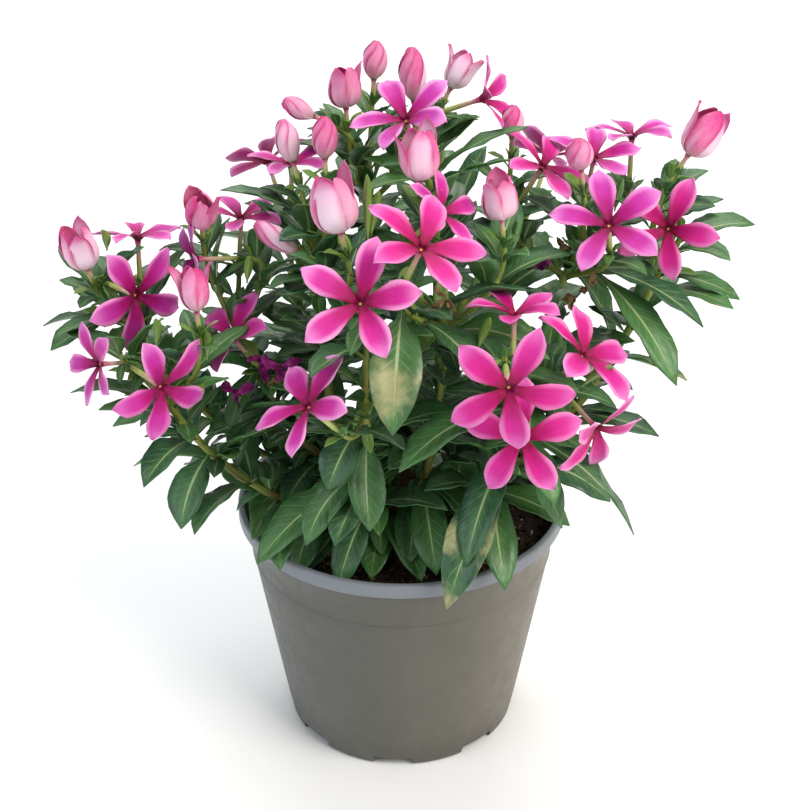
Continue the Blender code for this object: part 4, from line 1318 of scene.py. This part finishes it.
tube_rows = []
tube_edges = []
tube_thick = []
tube_up = []
for bloom in blooms.values():
    first = len(tube_rows)
    steps = 10
    top = bloom.hub - bloom.axis * 0.0004
    for k in range(steps + 1):
        t = k / steps
        tube_rows.append(bloom.end.lerp(top, t))
        swell = 0.00018 * sin(pi * min(1, t * 1.25)) + 0.00045 * max(0, t - 0.85) / 0.15
        tube_thick.append(0.00088 + swell)
        tube_up.append(t)
        if k:
            tube_edges.append((first + k - 1, first + k))
tube_points = bpy.data.meshes.new("tube_points")
tube_points.from_pydata([tuple(v) for v in tube_rows], tube_edges, [])
mark(tube_points, "thick", tube_thick)
mark(tube_points, "age", tube_up)
tube_skin = Finish("flower_tube", 0.5, Specular_IOR_Level=0.35)
tube_colour = tube_skin.ramp(tube_skin.own_value("age"), (
    (0.0, "8fab4c"), (0.45, "a9b062"), (0.8, "cf9a94"), (1.0, "c02a78")))
tube_skin.colour(tube_skin.mix(
    tube_skin.step(tube_skin.noise(300, detail=3), 0.4, 0.7, 0, 0.3), tube_colour, "dcd8b0"))
tubes = stem_tree.grow("flower_tubes", tube_points, Sides=8)
made_plain(tubes)
tubes.data.materials.clear()
tubes.data.materials.append(tube_skin.material)
tubes.data.shade_smooth()
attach(tubes, "root")

sepal_rows = []
for bloom in blooms.values():
    for k in range(5):
        out = Quaternion(bloom.axis, tau * k / 5 + 0.4) @ across(bloom.axis)
        way = (bloom.axis + out * 0.28).normalized()
        foot = bloom.end + out * 0.0009 - bloom.axis * 0.0004
        tip = foot + way * numbers.uniform(0.0042, 0.0060)
        sepal_rows.append(leaf_row(foot, tip, -out, 0.0011, None, 0.3))
sepals = leaf_tree.grow("sepals", point_cloud("sepals", sepal_rows, leaf_vectors, leaf_values), Ripple=0.0)
thickened(sepals, 0.00025, leaf_under)
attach(sepals, "root")

eye_sides = 10
eye_radius = 0.0014
eye_profile = ((0.0, 0.0003), (0.00030, 0.0002), (0.00055, 0.0003), (0.00085, 0.0005), (0.00120, 0.0003),
               (eye_radius, -0.0004))
eye_verts = []
eye_faces = []
for bloom in blooms.values():
    if not bloom.is_open:
        continue
    first = len(eye_verts)
    side = across(bloom.axis)
    over = bloom.axis.cross(side)
    for radius, height in eye_profile:
        for k in range(eye_sides):
            a = tau * k / eye_sides
            centre = bloom.hub + bloom.axis * height
            eye_verts.append(centre + (side * cos(a) + over * sin(a)) * radius)
    for ring_index in range(len(eye_profile) - 1):
        low = first + ring_index * eye_sides
        high = low + eye_sides
        for k in range(eye_sides):
            beside_k = (k + 1) % eye_sides
            eye_faces.append((low + k, high + k, high + beside_k, low + beside_k))
    eye_faces.append(tuple(high + k for k in reversed(range(eye_sides))))
eye_mesh = mesh_of("flower_eyes", eye_verts, eye_faces)
eye_shape = bmesh.new()
eye_shape.from_mesh(eye_mesh)
bmesh.ops.remove_doubles(eye_shape, verts=eye_shape.verts, dist=1e-6)
bmesh.ops.recalc_face_normals(eye_shape, faces=eye_shape.faces)
eye_shape.to_mesh(eye_mesh)
eye_shape.free()
hubs = [bloom.hub for bloom in blooms.values() if bloom.is_open]
to_hub = [min((vert.co - hub).length for hub in hubs) for vert in eye_mesh.vertices]
mark(eye_mesh, "level", [reach / eye_radius for reach in to_hub])
eyes = new_object("flower_eyes", eye_mesh)
eye_skin = Finish("flower_eye", 0.6, Specular_IOR_Level=0.3)
eye_skin.colour(eye_skin.ramp(eye_skin.own_value("level"), (
    (0.18, "e3c96a"), (0.42, "a83a2c"), (0.60, "5c0020"), (1.0, "7d0030"))))
eyes.data.materials.append(eye_skin.material)
eyes.data.shade_smooth()
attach(eyes, "root")
